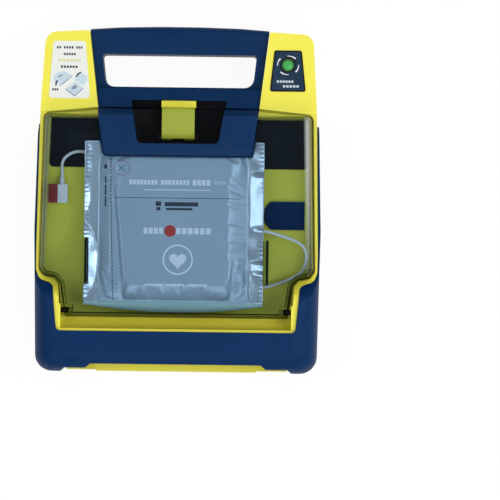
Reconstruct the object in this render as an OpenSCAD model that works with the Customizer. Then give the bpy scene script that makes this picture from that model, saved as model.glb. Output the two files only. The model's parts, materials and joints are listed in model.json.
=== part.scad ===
// Portable automated defibrillator lying on its back, lid shut.
// +Z is up out of the front face, +Y points to the carrying handle, +X to the right of the front view.

/* [Overall] */
// Length from the battery end to the handle
overall_l = 320; // [312:1:330]
// Height over the latch housing
overall_h = 80; // [78:0.5:86]

/* [Case] */
// Wall of the two case halves
case_wall = 3; // [2.2:0.1:3.6]
// Width of the yellow case at its widest
case_w = 259.6; // [240:0.2:280]
// Fall of each side from the widest place to the latch end of the lid
shoulder_in = 2.3; // [1.8:0.1:3.3]
// Fall of each side from the widest place to the upper corners
corner_in = 6.3; // [4.8:0.1:9.8]
// Plan radius of the upper corners
corner_r = 11; // [6:0.5:14]
// Height of the gap under the case, held by the feet
ground_gap = 1.5; // [1:0.1:2.5]
// Height of the parting plane between the case halves
split_z = 26; // [26:0.5:28]
// Thickness of the case gasket
gasket_t = 0.8; // [0.5:0.1:1.2]
// Height of the deck under the lid
deck_z = 46; // [45:0.5:47]
// Height of the rim above the deck
rim_h = 7; // [5:0.5:8]
// Height of the corner blocks above the deck beside the lid
corner_rise = 10; // [8:0.5:12]
// Fall of the corner blocks towards the handle end
corner_fall = 11; // [8:0.5:13]

/* [Bumper] */
// Thickness of the bumper beside the case
bumper_wall = 2.7; // [2:0.1:6]
// Height of the hinge-end hump
hump_h = 76; // [72:0.5:78]
// Height of the side band above the ground
band_h = 46; // [44:0.5:46]
// Where the side band ends towards the handle
band_end_y = 69; // [60:1:78]
// Plan radius of the lower corners
foot_r = 16; // [12:1:24]

/* [Handle] */
// Width of the handle piece at its free end
handle_w = 166; // [160:0.5:168]
// Width of the handle piece at its root
handle_root_w = 150; // [148:0.5:154]
// Width of the hand slot beside the grip
slot_w = 143; // [124:1:144]
// Length of the hand slot from root to grip
slot_l = 30.3; // [26:0.1:31]
// Height of the underside of the grip
grip_z = 10; // [8:0.5:14]
// Thickness of the grip
grip_t = 32; // [28:0.5:33]

/* [Lid] */
// Wall of the transparent lid
lens_t = 2.2; // [1.8:0.1:2.6]
// Width of the rim and the gap beside the lid at its latch end
rim_top_w = 3.8; // [3.5:0.1:6.5]
// Width of the rim and the gap beside the lid before its step
rim_mid_w = 2.8; // [2.6:0.1:4.8]
// Distance from the case's side to the lid at its hinge
rim_hinge_w = 26.3; // [25.8:0.1:29.8]
// Gap between the lid and the rim
lid_gap = 0.8; // [0.5:0.1:1.2]
// Height of the hinge axis
hinge_z = 66; // [64:0.5:67]
// Place of the hinge axis along the body
hinge_y = -103; // [-104:0.5:-102.5]
// Radius of the hinge pins
hinge_r = 2.5; // [2:0.1:3]
// Running clearance of the pins and sliding pieces
run_gap = 0.15; // [0.1:0.05:0.25]
// Clearance between moving neighbours
part_gap = 0.4; // [0.3:0.05:0.6]

/* [Latch] */
// Width of the latch lever and of its catch
lever_w = 32; // [26:0.5:34]
// Length of the latch lever
lever_l = 27.6; // [24:0.2:27.8]
// Radius of the latch pin
latch_pin_r = 1.5; // [1.2:0.1:2]
// Width of the finger recess at its mouth
recess_w = 88; // [70:1:92]
// Width of the finger recess at its closed end
recess_root_w = 74; // [60:1:76]
// Wire of the latch spring
spring_wire = 0.6; // [0.5:0.1:0.8]
// Turns of the latch spring
spring_turns = 4; // [3:1:6]

/* [Panel] */
// Length of the control panel along the body
panel_l = 47; // [40:0.5:48]
// Thickness of the control panel
panel_t = 1.2; // [0.8:0.1:1.5]
// Diameter of the shock button
button_d = 22; // [18:0.5:26]
// Travel of the shock button
button_travel = 2; // [1:0.1:2.5]
// Place of the shock button across the panel
button_x = 14; // [8:0.5:20]
// Width of the display
display_w = 82; // [60:1:84]
// Height of the display
display_h = 19; // [14:0.5:24]
// Number of speaker slots
speaker_slots = 7; // [5:1:8]
// Length of a speaker slot
speaker_slot_l = 34; // [24:1:36]

/* [Ports] */
// Length of the data-port cover across the body
cover_l = 36; // [30:0.5:37]
// Width of the data-port cover along the body
cover_w = 26; // [20:0.5:27]
// Thickness of the data-port cover
cover_t = 2.4; // [1.8:0.1:3]
// Length of the pad socket along the body
socket_l = 17; // [14:0.5:20]
// Diameter of the pad cable
cable_d = 2.8; // [2.2:0.1:3]

/* [Battery] */
// Width of the battery pack
battery_w = 154; // [140:1:156]
// Length of the battery pack
battery_l = 98; // [80:1:100]
// Height of the battery pack
battery_h = 20; // [18.5:0.5:20]
// Diameter of a battery cell
cell_d = 14.5; // [12:0.5:15]
// Wall of the battery case
battery_wall = 2; // [1.5:0.1:2.4]

/* [Pouch] */
// Room beside the pouch at the lid's hinge
pouch_side = 21; // [20.5:0.5:33]
// Length of the pad pouch
pouch_l = 151; // [130:1:152]
// Height of the filled pouch
pouch_h = 10; // [8:0.5:12]

/* [Hidden] */
$fn = 48;

yellow = "#e4e03a";
navy = "#123a66";
smoke = [0.25, 0.26, 0.22, 0.6];
big = 400;
eps = 0.01;

// Widths that follow the case
overall_w = case_w + 2 * bumper_wall;
shoulder_w = case_w - 2 * shoulder_in;
corner_w = case_w - 2 * corner_in;
lid_top_w = shoulder_w - 2 * rim_top_w;
lid_mid_w = case_w - 2 * rim_mid_w;
lid_hinge_w = case_w - 2 * rim_hinge_w;
pouch_w = lid_hinge_w - 2 * pouch_side;

// Places along the body
end_y = -overall_l / 2;
top_y = overall_l / 2;
case_end_y = end_y + 10;
corner_y = top_y - 6.6;
shoulder_y = 79;
root_y = shoulder_y + 12;
slot_y = root_y + 12.7;
lid_top_y = shoulder_y - 0.6;
step_y = -72;
lid_end_y = hinge_y - 6.8;
cove_r = 16.4;
cove_y = hinge_y - cove_r - 2.2;
cove_wall = 2.3;
panel_y = lid_top_y - lens_t - part_gap - panel_l / 2;
wide_y = -50;

// Heights
floor_z = ground_gap + case_wall;
front_z = split_z + gasket_t;
under_z = deck_z - case_wall;
lid_z = deck_z + 2;
lens_z = overall_h - 2;
panel_z = deck_z + panel_t;
board_z = floor_z + 12;
board_t = 1.6;

// Outline points are [x, y, corner radius], going anticlockwise
function unit(v) = v / norm(v);
function left(v) = [-v[1], v[0]];
function xy(p) = [p[0], p[1]];
function mirrored(half) = concat(half,
  [for (i = [len(half) - 1:-1:0]) [-half[i][0], half[i][1], half[i][2]]]);
function inset(p, d) = [for (i = [0:len(p) - 1])
  let (a = xy(p[(i + len(p) - 1) % len(p)]), b = xy(p[i]), c = xy(p[(i + 1) % len(p)]),
       u = left(unit(b - a)), v = left(unit(c - b)), bend = cross(u, v) > 0 ? -d : d,
       q = b + d * (u + v) / (1 + u * v))
  [q[0], q[1], max(p[i][2] + bend, 0.3)]];
function corner(a, b, c, r, n) =
  let (u = unit(a - b), v = unit(c - b), turn = acos(max(-1, min(1, u * v))),
       reach = min(r / tan(turn / 2), 0.46 * norm(a - b), 0.46 * norm(c - b)),
       rr = reach * tan(turn / 2), m = b + unit(u + v) * rr / sin(turn / 2),
       p = b + u * reach - m, q = b + v * reach - m, sweep = 180 - turn, s = cross(p, q) > 0 ? 1 : -1)
  [for (k = [0:n]) let (t = s * sweep * k / n)
    m + [p[0] * cos(t) - p[1] * sin(t), p[0] * sin(t) + p[1] * cos(t)]];
function rounded(p, n = 5) = [for (i = [0:len(p) - 1])
  each corner(xy(p[(i + len(p) - 1) % len(p)]), xy(p[i]), xy(p[(i + 1) % len(p)]), p[i][2], n)];
function trapezoid(w0, y0, w1, y1, r0, r1) = mirrored([[w0 / 2, y0, r0], [w1 / 2, y1, r1]]);
function lerp(a, b, t) = a + (b - a) * t;
ramp_steps = 14;
function ramp(y0, y1, z0, z1) = [for (k = [0:ramp_steps]) let (t = k / ramp_steps)
  [lerp(y0, y1, t), lerp(z0, z1, t * t * (3 - 2 * t))]];

// A straight prism of an outline
module prism(p, z0, z1, n = 5) translate([0, 0, z0]) linear_extrude(z1 - z0) polygon(rounded(p, n));

// A solid through rings of the same mirrored outline, each [inset, height], closed by strips across
module loft(p, steps, n = 5) {
  rings = [for (s = steps) [for (q = rounded(inset(p, s[0]), n)) [q[0], q[1], s[1]]]];
  m = len(rings[0]);
  last = (len(rings) - 1) * m;
  polyhedron([for (r = rings) each r],
    concat([for (i = [0:m / 2 - 2]) [i, i + 1, m - 2 - i, m - 1 - i]],
      [for (k = [0:m:last - m]) each [for (i = [0:m - 1])
        [k + i, k + m + i, k + m + (i + 1) % m, k + (i + 1) % m]]],
      [for (i = [0:m / 2 - 2]) [last + m - 1 - i, last + m - 2 - i, last + i + 1, last + i]]));
}

// A profile drawn in Y and Z, drawn out along X
module along_x(p, w) rotate([90, 0, 90]) translate([0, 0, -w / 2]) linear_extrude(w) polygon(p);
module rod_x(x0, x1, y, z, r) translate([x0, y, z]) rotate([0, 90, 0]) cylinder(r = r, h = x1 - x0);
module both_sides() {
  children();
  mirror([1, 0, 0]) children();
}
module block(x0, x1, y0, y1, z0, z1) translate([x0, y0, z0]) cube([x1 - x0, y1 - y0, z1 - z0]);

// Outlines of the body
case_half = [[case_w / 2 - 2.3, case_end_y, 18], [case_w / 2, wide_y, 60], [shoulder_w / 2, shoulder_y, 40],
  [corner_w / 2, corner_y, corner_r]];
horn_x = handle_w / 2 + run_gap;
horn_y = corner_y + 2.1;
apex_x = 20;
apex_y = lerp(corner_y, horn_y, (corner_w / 2 - apex_x) / (corner_w / 2 - horn_x));
case_full = mirrored(concat(case_half, [[apex_x, apex_y, 100]]));
case_out = mirrored(concat(case_half, [[horn_x, horn_y, 2], [handle_root_w / 2 + run_gap, root_y, 0.6]]));
bump_out = mirrored([[overall_w / 2 - 2.4, end_y, foot_r], [overall_w / 2, wide_y + 20, 150],
  [shoulder_w / 2 + 2, shoulder_y + 12, 8]]);
end_lip_w = battery_w + 52;
end_cut = mirrored([[end_lip_w / 2 + 4, end_y - 5, 1], [end_lip_w / 2 + 4, end_y, 1],
  [end_lip_w / 2, end_y + 4, 2], [battery_w / 2 + 6, end_y + 4, 2],
  [battery_w / 2 + 1.5, end_y + 8.2, 1.5]]);
pin_x = lid_hinge_w / 2;
cheek_x = pin_x + 2.2;
lid_half = [[pin_x, lid_end_y, 3], [pin_x + 4.1, step_y - 7, 3], [pin_x + 8.7, step_y - 1.8, 4],
  [lid_mid_w / 2 - 4.5, step_y + 0.4, 6], [lid_mid_w / 2, step_y + 6.5, 8], [lid_top_w / 2, lid_top_y, 5]];
lid_out = mirrored(lid_half);
well_edge = inset(lid_out, -lid_gap);
well_out = mirrored(concat([[cheek_x, cove_y + cove_wall, 1]],
  [for (i = [1:len(lid_half) - 1]) well_edge[i]]));
rim_out = mirrored([[pin_x + 6, cove_y, 4], [pin_x + 9.9, step_y - 8.8, 4], [pin_x + 13, step_y - 6, 5],
  [case_w / 2 - 3.5, step_y - 2.6, 7], [case_w / 2 - 0.2, step_y + 5, 10], [case_w / 2, wide_y, 60],
  [shoulder_w / 2, shoulder_y + 0.2, 2]]);
recess_y = 50.5;
housing_y = 39.8;
housing_w = handle_root_w - 2;
housing_root_w = housing_w - 13;
housing_out = trapezoid(housing_root_w, housing_y, housing_w, lid_top_y + 4, 4, 1);
recess_out = trapezoid(recess_root_w, recess_y, recess_w, root_y, 5, 2);
side_boss_x = case_w / 2 - 11.8;
boss_xy = [[side_boss_x, 70], [side_boss_x, -52], [side_boss_x - 18, -138], [horn_x + 6.6, 138]];

// Layout inside the case
bay_gap = 0.6;
battery_z = floor_z + bay_gap;
battery_y = end_y + battery_l;
bay_wall = 2.4;
bay_y = battery_y + bay_gap;
bay_w = battery_w + 2 * bay_gap;
bay_z = battery_z + battery_h + bay_gap;

// Screw columns between the case halves
screw_r = 2;
screw_free = 0.2;
screw_bite = 0.3;
column_r = 5;
screw_head_r = 3.8;
module columns(r, z0, z1) both_sides() for (p = boss_xy)
  translate([p[0], p[1], z0]) cylinder(r = r, h = z1 - z0);

// Posts that carry the board
post_x = [-92, 34];
post_y = [-34, 66];
post_r = 3.5;
module post_places(z) for (x = post_x, y = post_y) translate([x, y, z]) children();

notch_reach = 1.3;
module handle_notch() let (root = handle_root_w + 2 * run_gap)
  prism(trapezoid(root, root_y, lerp(root, 2 * horn_x, notch_reach), lerp(root_y, horn_y, notch_reach),
    0.6, 0.1), 0, big);

module rear_case() color(yellow) difference() {
  union() {
    difference() {
      loft(case_full, [[7, ground_gap], [4.4, ground_gap + 0.7], [2, ground_gap + 2.4],
        [0.5, ground_gap + 4.8], [0, ground_gap + 8], [0, split_z]]);
      prism(inset(case_out, case_wall), floor_z, split_z + 1);
      handle_notch();
    }
    columns(column_r, floor_z - eps, split_z);
    block(-bay_w / 2 - bay_wall, bay_w / 2 + bay_wall, case_end_y + case_wall - eps, bay_y + bay_wall,
      floor_z - eps, bay_z);
    block(-end_lip_w / 2, end_lip_w / 2, end_y + 0.5, case_end_y + 12, ground_gap, floor_z);
    post_places(floor_z - eps) cylinder(r = post_r, h = board_z - floor_z + eps);
  }
  block(-bay_w / 2, bay_w / 2, end_y - 1, bay_y, floor_z, bay_z + 1);
  columns(screw_r + screw_free, 0, split_z + 1);
  columns(screw_head_r + 0.4, 0, floor_z + 2);
  post_places(floor_z + 2) cylinder(r = board_screw_r + screw_free, h = board_z);
  handle_bolts(screw_r + screw_free);
  foot_places(0) cylinder(r = foot_pad_r + screw_free, h = ground_gap + foot_seat);
}

module front_case() color(yellow) difference() {
  union() {
    difference() {
      prism(case_out, front_z, deck_z);
      prism(inset(case_out, case_wall), front_z - 1, under_z);
    }
    columns(column_r, front_z, under_z + eps);
    difference() {
      prism(rim_out, deck_z - eps, deck_z + rim_h);
      prism(well_out, deck_z - 1, deck_z + rim_h + 1);
    }
    both_sides() corner_block();
    hinge_cheeks();
  }
  columns(screw_r - screw_bite, front_z - 1, under_z + 1);
  rod_x(-pin_end - 0.1, pin_end + 0.1, hinge_y, hinge_z, hinge_r + run_gap);
  translate([button_x, panel_y, 0]) cylinder(r = button_d / 2 + part_gap, h = big);
  display_cut();
  speaker_grille();
  port_box(0.3, under_z - 1, deck_z + 1);
  socket_box(-1, 0, big);
  lamp_places(0) cylinder(r = lamp_r + run_gap, h = big);
  translate([status_x, status_y, 0]) cylinder(r = status_r + 1.2, h = big);
}

// Block between the lid, the handle and the side: a sloped top and a slanted front edge
edge_x = 100;
edge_y = shoulder_y + 2.5;
edge_slant = 5.8;
edge_run = 2.4;
module corner_block() difference() {
  corner_solid();
  seam_prism(run_gap, root_y + 2);
}
module corner_solid() intersection() {
  prism(case_out, under_z, deck_z + 20);
  along_x([[shoulder_y + 0.2, under_z], [top_y, under_z], [top_y, corner_top(top_y)],
    [shoulder_y + 0.2, corner_top(shoulder_y + 0.2)]], big);
  translate([edge_x, edge_y, 0]) rotate(-edge_slant) along_x([[-3 * edge_run, deck_z], [-edge_run, deck_z],
    [0, deck_z + corner_rise], [0, big], [big, big], [big, 0], [-3 * edge_run, 0]], big);
  block(0, big, 0, top_y, 0, big);
}

// Cheeks that carry the hinge pins, and the hollow that the lid's end turns in
cheek_z = hinge_z + 6;
pin_end = pin_x + 5.3;
cheek_side = concat([[cove_y, deck_z - 1], [step_y + 8, deck_z - 1]],
  ramp(step_y + 8, hinge_y + 8, deck_z + rim_h, cheek_z), [[cove_y, cheek_z]]);
module hinge_cheeks() difference() {
  intersection() {
    prism(rim_out, deck_z - eps, cheek_z);
    union() {
      both_sides() block(cheek_x, big, cove_y, hinge_y + 6, deck_z - 1, big);
      block(-big / 2, big / 2, cove_y, hinge_y - 4, deck_z - 1, big);
      difference() {
        along_x(cheek_side, big);
        prism(well_out, 0, big);
      }
    }
  }
  rod_x(-cheek_x, cheek_x, hinge_y, hinge_z, cove_r);
  block(-cheek_x, cheek_x, hinge_y - cove_r, hinge_y + 40, hinge_z, big);
}

speaker_x = -12;
speaker_y = -6;
slot_pitch = 5;
slot_r = 0.9;
module speaker_grille() for (i = [0:speaker_slots - 1])
  translate([speaker_x, speaker_y + slot_pitch * (i - (speaker_slots - 1) / 2), under_z - 1])
    hull() for (s = [-1, 1])
      translate([s * speaker_slot_l / 2, 0, 0]) cylinder(r = slot_r, h = case_wall + 2, $fn = 16);

module bumper() color(navy) difference() {
  intersection() {
    loft(bump_out, [[5, ground_gap + 1], [2, ground_gap + 2.5], [0.4, ground_gap + 6], [0, ground_gap + 10],
      [0, deck_z - 4], [0.8, hump_h - 22], [3.4, hump_h - 13], [7, hump_h - 7], [12, hump_h - 2.8],
      [18, hump_h - 0.7], [25, hump_h]], 8);
    along_x(bump_side, big);
  }
  prism(inset(case_out, -run_gap), 0, deck_z);
  prism(inset(rim_out, -run_gap), deck_z - 1, big);
  prism(end_cut, 0, big);
  block(-bay_w / 2, bay_w / 2, end_y - 1, case_end_y + 1, 0, bay_z);
  block(-end_lip_w / 2 - run_gap, end_lip_w / 2 + run_gap, end_y - 1, case_end_y + 1, 0, floor_z + run_gap);
}
bump_side = concat(
  [[end_y - 10, 0], [band_end_y - 6, 0], [band_end_y, band_h - 16], [band_end_y - 12, band_h]],
  ramp(wide_y - 4, hinge_y + 2, band_h, hump_h + 1), [[end_y - 10, hump_h + 1]]);

// The handle's sides run on in a straight line to the lid
grip_y = corner_y + 3.7;
function seam_w(y) = lerp(handle_root_w, handle_w, (y - root_y) / (grip_y - root_y));
module seam_prism(gap, y1)
  prism(trapezoid(seam_w(shoulder_y) + 2 * gap, shoulder_y, seam_w(y1) + 2 * gap, y1, 0.3, 0.3), 0, big);
grip_top = [[handle_w / 3, top_y - 0.9, 200], [handle_w / 9, top_y, 300]];
grip_out = mirrored(concat([[handle_root_w / 2, root_y + run_gap, 1], [handle_w / 2, grip_y, 1.5]],
  grip_top));
grip_wide = mirrored(concat([[handle_root_w / 2 + 8, root_y + run_gap, 1],
  [handle_w / 2 + 8, grip_y - 0.5, 2]], grip_top));
shelf_t = 1.3;
slot_out = trapezoid(slot_w - 7, slot_y, slot_w, slot_y + slot_l, 9, 3);
module handle() color(navy) difference() {
  union() {
    difference() {
      intersection() {
        loft(grip_wide, [[5, grip_z], [2.2, grip_z + 1.2], [0.6, grip_z + 3.6], [0, grip_z + 7],
          [0, grip_z + grip_t - 8], [0.8, grip_z + grip_t - 3.8], [2.8, grip_z + grip_t - 1.2],
          [6, grip_z + grip_t]], 8);
        prism(grip_out, 0, big, 8);
      }
      prism(slot_out, 0, big);
    }
    intersection() {
      along_x([[root_y + run_gap, grip_z + 12], [slot_y - 0.5, grip_z + 12], [slot_y - 0.5, deck_z],
        [slot_y - 3, deck_z + 3], [shoulder_y + 5.5, deck_z + 7], [shoulder_y + 4.6, deck_z + 5],
        [shoulder_y + 4.6, deck_z + shelf_t], [shoulder_y + 0.4, deck_z + shelf_t],
        [shoulder_y + 0.4, deck_z], [root_y + run_gap, deck_z]], big);
      seam_prism(0, slot_y);
    }
  }
  prism(inset(recess_out, -0.2), deck_z + catch_seat, big);
  handle_bolts(screw_r - screw_bite);
}
bolt_x = 40;
bolt_z = split_z - 8;
bolt_l = 10;
module handle_bolts(r) both_sides() translate([bolt_x, root_y - case_wall - 1, bolt_z])
  rotate([-90, 0, 0]) cylinder(r = r, h = bolt_l + 4);
module handle_screws() color("silver") both_sides() translate([bolt_x, root_y - case_wall, bolt_z])
  rotate([-90, 0, 0]) {
    cylinder(r = screw_r - screw_bite - 0.1, h = bolt_l);
    translate([0, 0, -2]) cylinder(r = screw_head_r, h = 2);
  }

module case_gasket() color("#303030") difference() {
  prism(inset(case_out, 0.6), split_z, front_z);
  prism(inset(case_out, case_wall - 0.5), split_z - 1, front_z + 1);
}

module case_screws() color("silver") {
  columns(screw_r - screw_bite - 0.1, floor_z + 2, front_z + 9);
  columns(screw_head_r, floor_z - 0.4, floor_z + 2);
}

foot_pad_r = 7;
foot_x = case_w / 2 - 25.8;
foot_seat = 6;
module foot_places(z) both_sides() for (y = [case_end_y + 26, shoulder_y + 40])
  translate([foot_x, y, z]) children();
module rear_feet() color("#26282b") foot_places(0) cylinder(r = foot_pad_r, h = ground_gap + foot_seat);

panel_w = lid_top_w - 8.8;
display_x = -61;
module display_cut() translate([display_x, panel_y, 0])
  cube([display_w - 8, display_h - 6, big], center = true);
module control_panel() color("#1d2b46") difference() {
  prism(trapezoid(panel_w, panel_y - panel_l / 2, panel_w - 4, panel_y + panel_l / 2, 4, 3), deck_z, panel_z);
  translate([button_x, panel_y, 0]) cylinder(r = button_d / 2 + part_gap, h = big);
  display_cut();
  lamp_places(0) cylinder(r = lamp_r + run_gap, h = big);
}
display_t = 0.8;
module display_window() color("#5d6a78")
  translate([display_x - display_w / 2, panel_y - display_h / 2, panel_z])
    cube([display_w, display_h, display_t]);
module button_bezel() color("#f0b08a") translate([button_x, panel_y, panel_z]) difference() {
  cylinder(r = button_d / 2 + 4.5, h = 1.4);
  translate([0, 0, -1]) cylinder(r = button_d / 2 + part_gap, h = 4);
}
lamp_x = 66;
lamp_r = 2;
lamp_step = 7;
lamp_l = 9;
module lamp_places(z) for (y = [-lamp_step, lamp_step]) translate([lamp_x, panel_y + y, z]) children();
module panel_lamps() color("white") lamp_places(panel_z + 0.5 - lamp_l) cylinder(r = lamp_r, h = lamp_l);

// The button rides on the switch below the deck
button_top = panel_z + 3.4;
button_foot = under_z - 3;
plunger_r = 4;
module shock_button() color("#d8321f") translate([button_x, panel_y, 0]) {
  translate([0, 0, button_foot + 2]) rotate_extrude() polygon([[0, 0], [button_d / 2, 0],
    [button_d / 2, button_top - button_foot - 3.2], [button_d / 2 - 1.2, button_top - button_foot - 2],
    [0, button_top - button_foot - 1.4]]);
  translate([0, 0, button_foot]) cylinder(r = plunger_r, h = 2 + eps);
}
switch_top = button_foot - 0.2;
module shock_switch() color("#22242a") translate([button_x, panel_y, 0]) difference() {
  translate([0, 0, board_top]) cylinder(r = plunger_r + 3, h = switch_top - board_top);
  translate([0, 0, switch_top - button_travel - 1]) cylinder(r = plunger_r + part_gap, h = button_travel + 2);
}

// Behind the slots a cone, a basket and a magnet, [radius, height] from the back
speaker_steps = [[12, 4], [19, 6], [24, 3]];
speaker_h = speaker_steps[0][1] + speaker_steps[1][1] + speaker_steps[2][1];
module speaker() color("#34363a") translate([speaker_x, speaker_y, under_z - speaker_h]) {
  cylinder(r = speaker_steps[0][0], h = speaker_steps[0][1] + eps);
  translate([0, 0, speaker_steps[0][1]]) cylinder(r = speaker_steps[1][0], h = speaker_steps[1][1] + eps);
  translate([0, 0, speaker_h - speaker_steps[2][1]])
    cylinder(r = speaker_steps[2][0], h = speaker_steps[2][1]);
}
board_screw_r = 1.1;
board_edge = 6;
board_top = board_z + board_t;
module main_board() color("#1f6b3a") difference() {
  block(post_x[0] - board_edge, post_x[1] + board_edge, post_y[0] - board_edge, post_y[1] + board_edge,
    board_z, board_top);
  post_places(0) cylinder(r = board_screw_r + 2 * screw_free, h = big);
}
module board_screws() color("silver") post_places(board_top) {
  cylinder(r = 2.5 * board_screw_r, h = 1.8);
  translate([0, 0, -6]) cylinder(r = board_screw_r, h = 6 + eps);
}
cap_r = 16;
cap_l = 68;
cap_x = case_w / 2 - 57.8;
cap_y = -30;
cap_z = floor_z + cap_r + 0.2;
strap_t = 1.5;
strap_foot = 8;
strap_w = 10;
module hv_capacitor() color("#2d5f8f") translate([cap_x, cap_y, cap_z]) rotate([-90, 0, 0])
  rotate_extrude()
    polygon([[0, 0], [cap_r - 1, 0], [cap_r, 1], [cap_r, cap_l - 2], [cap_r - 1.5, cap_l], [0, cap_l]]);
module capacitor_strap() color("#202225") translate([cap_x, 0, 0]) rotate([90, 0, 0])
  linear_extrude(strap_w, center = true) difference() {
    union() {
      translate([0, cap_z]) circle(r = cap_r + 0.1 + strap_t);
      translate([-cap_r - strap_foot, floor_z]) square([2 * (cap_r + strap_foot), 2]);
    }
    translate([0, cap_z]) circle(r = cap_r + 0.1);
    translate([-big / 2, floor_z - big]) square([big, big]);
  }
choke_r = 5;
choke_x = -70;
choke_y = 20;
module hv_choke() color("#b0672e") translate([choke_x, choke_y, board_top]) rotate_extrude()
  translate([2 * choke_r, choke_r]) circle(r = choke_r);
relay_x = -50;
relay_y = 30;
relay_w = 24;
relay_l = 30;
relay_h = 14;
module transfer_relay() color("#c9cdd2")
  block(relay_x, relay_x + relay_w, relay_y, relay_y + relay_l, board_top, board_top + relay_h);

module battery_bay() color("#3a3d42") block(-bay_w / 2 - bay_wall, bay_w / 2 + bay_wall,
  case_end_y + case_wall + 0.2, bay_y + bay_wall, bay_z, bay_z + 2);
connector_w = 36;
connector_l = 6;
connector_h = 10;
module battery_connector() color("#202225") block(-connector_w / 2, connector_w / 2, bay_y + bay_wall,
  bay_y + bay_wall + connector_l, floor_z, floor_z + connector_h);
contact_step = 12;
module battery_contacts() color("gold") for (x = [-contact_step, 0, contact_step])
  block(x - 2, x + 2, battery_y, battery_y + 0.4, battery_z + 4, battery_z + 12);
cell_l = 46;
cell_rows = 5;
key_w = 14;
key_l = 7;
key_h = 10;
key_in = 0.3;
key_travel = 3;
key_z = battery_z + 5;
module battery_case() color(yellow) difference() {
  union() {
    prism(trapezoid(battery_w - 6, end_y, battery_w, end_y + 8, 0.5, 0.5), battery_z, battery_z + battery_h);
    block(-battery_w / 2, battery_w / 2, end_y + 7, battery_y, battery_z, battery_z + battery_h);
  }
  block(-cell_l * 1.5 - 2, cell_l * 1.5 + 2, battery_y - battery_wall - cell_rows * cell_d - 2,
    battery_y - battery_wall, battery_z + battery_wall, battery_z + battery_wall + cell_d + 1);
  block(-key_w / 2 - part_gap, key_w / 2 + part_gap, end_y - 1,
    end_y + key_in + key_l + key_travel + part_gap, key_z - part_gap, key_z + key_h + part_gap);
}
module battery_cells() color("#7f8790") for (i = [-1:1], j = [0:cell_rows - 1])
  rod_x((i - 0.5) * cell_l + 0.3, (i + 0.5) * cell_l - 0.3, battery_y - battery_wall - 1 - (j + 0.5) * cell_d,
    battery_z + battery_wall + cell_d / 2, cell_d / 2 - 0.1);
module battery_latch() color("#2a2c30")
  block(-key_w / 2, key_w / 2, end_y + key_in, end_y + key_in + key_l, key_z, key_z + key_h);

// Data-port cover and its connector
cover_x1 = case_w / 2 - 13.8;
cover_y = -14;
port_x = cover_x1 - cover_l / 2;
cover_z = deck_z + 0.3;
module port_cover() color("#14324f") {
  prism([[cover_x1, cover_y - cover_w / 2, 2], [cover_x1, cover_y + cover_w / 2, 2],
    [cover_x1 - cover_l + 6, cover_y + cover_w / 2, 3], [cover_x1 - cover_l, cover_y + cover_w / 2 - 7, 3],
    [cover_x1 - cover_l, cover_y - cover_w / 2 + 7, 3], [cover_x1 - cover_l + 6, cover_y - cover_w / 2, 3]],
    cover_z, cover_z + cover_t);
  block(cover_x1 - cover_l + 1.5, cover_x1 - cover_l + 4, cover_y - 5, cover_y + 5, cover_z + cover_t - eps,
    cover_z + cover_t + 1.6);
  translate([cover_x1, cover_y - cover_w / 2, cover_z + cover_t / 2]) rotate([-90, 0, 0])
    cylinder(r = cover_t / 2, h = cover_w);
}
port_l = 24;
port_w = 12;
module port_box(d, z0, z1) block(port_x - port_l / 2 - d, port_x + port_l / 2 + d,
  cover_y - port_w / 2 - d, cover_y + port_w / 2 + d, z0, z1);
module data_port() color("#8a9097") {
  difference() {
    port_box(0, under_z - 4, deck_z - 0.4);
    port_box(-2, under_z + 0.2, deck_z + 1);
  }
  for (i = [-3:3]) translate([port_x + i * 2.4, cover_y, under_z]) cylinder(r = 0.5, h = 2);
  port_box(-3, board_z + 4, under_z - 4 + eps);
}

// Pad socket and the plug in it
socket_w = 8.4;
socket_x0 = -case_w / 2 + 10.8;
socket_x1 = socket_x0 + socket_w;
socket_y = 4;
plug_w = 9.2;
plug_h = 9;
module socket_box(d, z0, z1)
  block(socket_x0 - d, socket_x1 + d, socket_y - socket_l / 2 - d, socket_y + socket_l / 2 + d, z0, z1);
module pad_socket() color("#c8281e") {
  socket_box(0, deck_z, deck_z + plug_h + 0.8);
  socket_box(-1 - screw_free, under_z - 2, deck_z + eps);
}
plug_x1 = socket_x1 + plug_w;
module pad_plug() color("#f2f1ea") difference() {
  translate([socket_x1, socket_y - socket_l / 2, deck_z]) cube([plug_w, socket_l, plug_h]);
  for (i = [0:3]) translate([socket_x1 + 2, socket_y - 6 + 3 * i, deck_z + plug_h - 0.6])
    cube([plug_w, 1, 1]);
}
boot_y = socket_y + socket_l / 2;
boot_l = 7;
cable_x = plug_x1 - 5.4;
cable_z = deck_z + 4.6;
module plug_boot() color("#f2f1ea") translate([cable_x, boot_y, cable_z]) rotate([-90, 0, 0])
  cylinder(r1 = cable_d / 2 + 1.4, r2 = cable_d / 2 + 0.4, h = boot_l);

// Status indicator on the right corner block
status_x = (handle_w + corner_w) / 4 - 3.05;
status_y = 125.4;
status_r = 5.6;
plate_t = 0.8;
plate_y = 119.5;
plate_w0 = 33.2;
plate_w1 = 25.2;
plate_l = 38.6;
label_x = -(handle_root_w + shoulder_w) / 4 + 0.75;
label_y = 117;
label_t = 0.4;
corner_tilt = atan((corner_fall) / (top_y - shoulder_y - 4));
function corner_top(y) = deck_z + corner_rise - corner_fall * (y - shoulder_y - 4) / (top_y - shoulder_y - 4);
module on_corner(x, y) translate([x, y, corner_top(y)]) rotate([-corner_tilt, 0, 0]) children();
module status_plate() color("#16243c") on_corner(status_x, plate_y) difference() {
  prism(trapezoid(plate_w0, -plate_l / 2, plate_w1, plate_l / 2, 2, 2), 0, plate_t);
  translate([0, status_y - plate_y, -1]) cylinder(r = status_r + 1.2, h = 4);
}
module status_window() color([0.7, 0.85, 0.75, 0.5]) on_corner(status_x, status_y)
  translate([0, 0, plate_t - 0.9]) cylinder(r = status_r + 0.9, h = 0.8);
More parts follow.
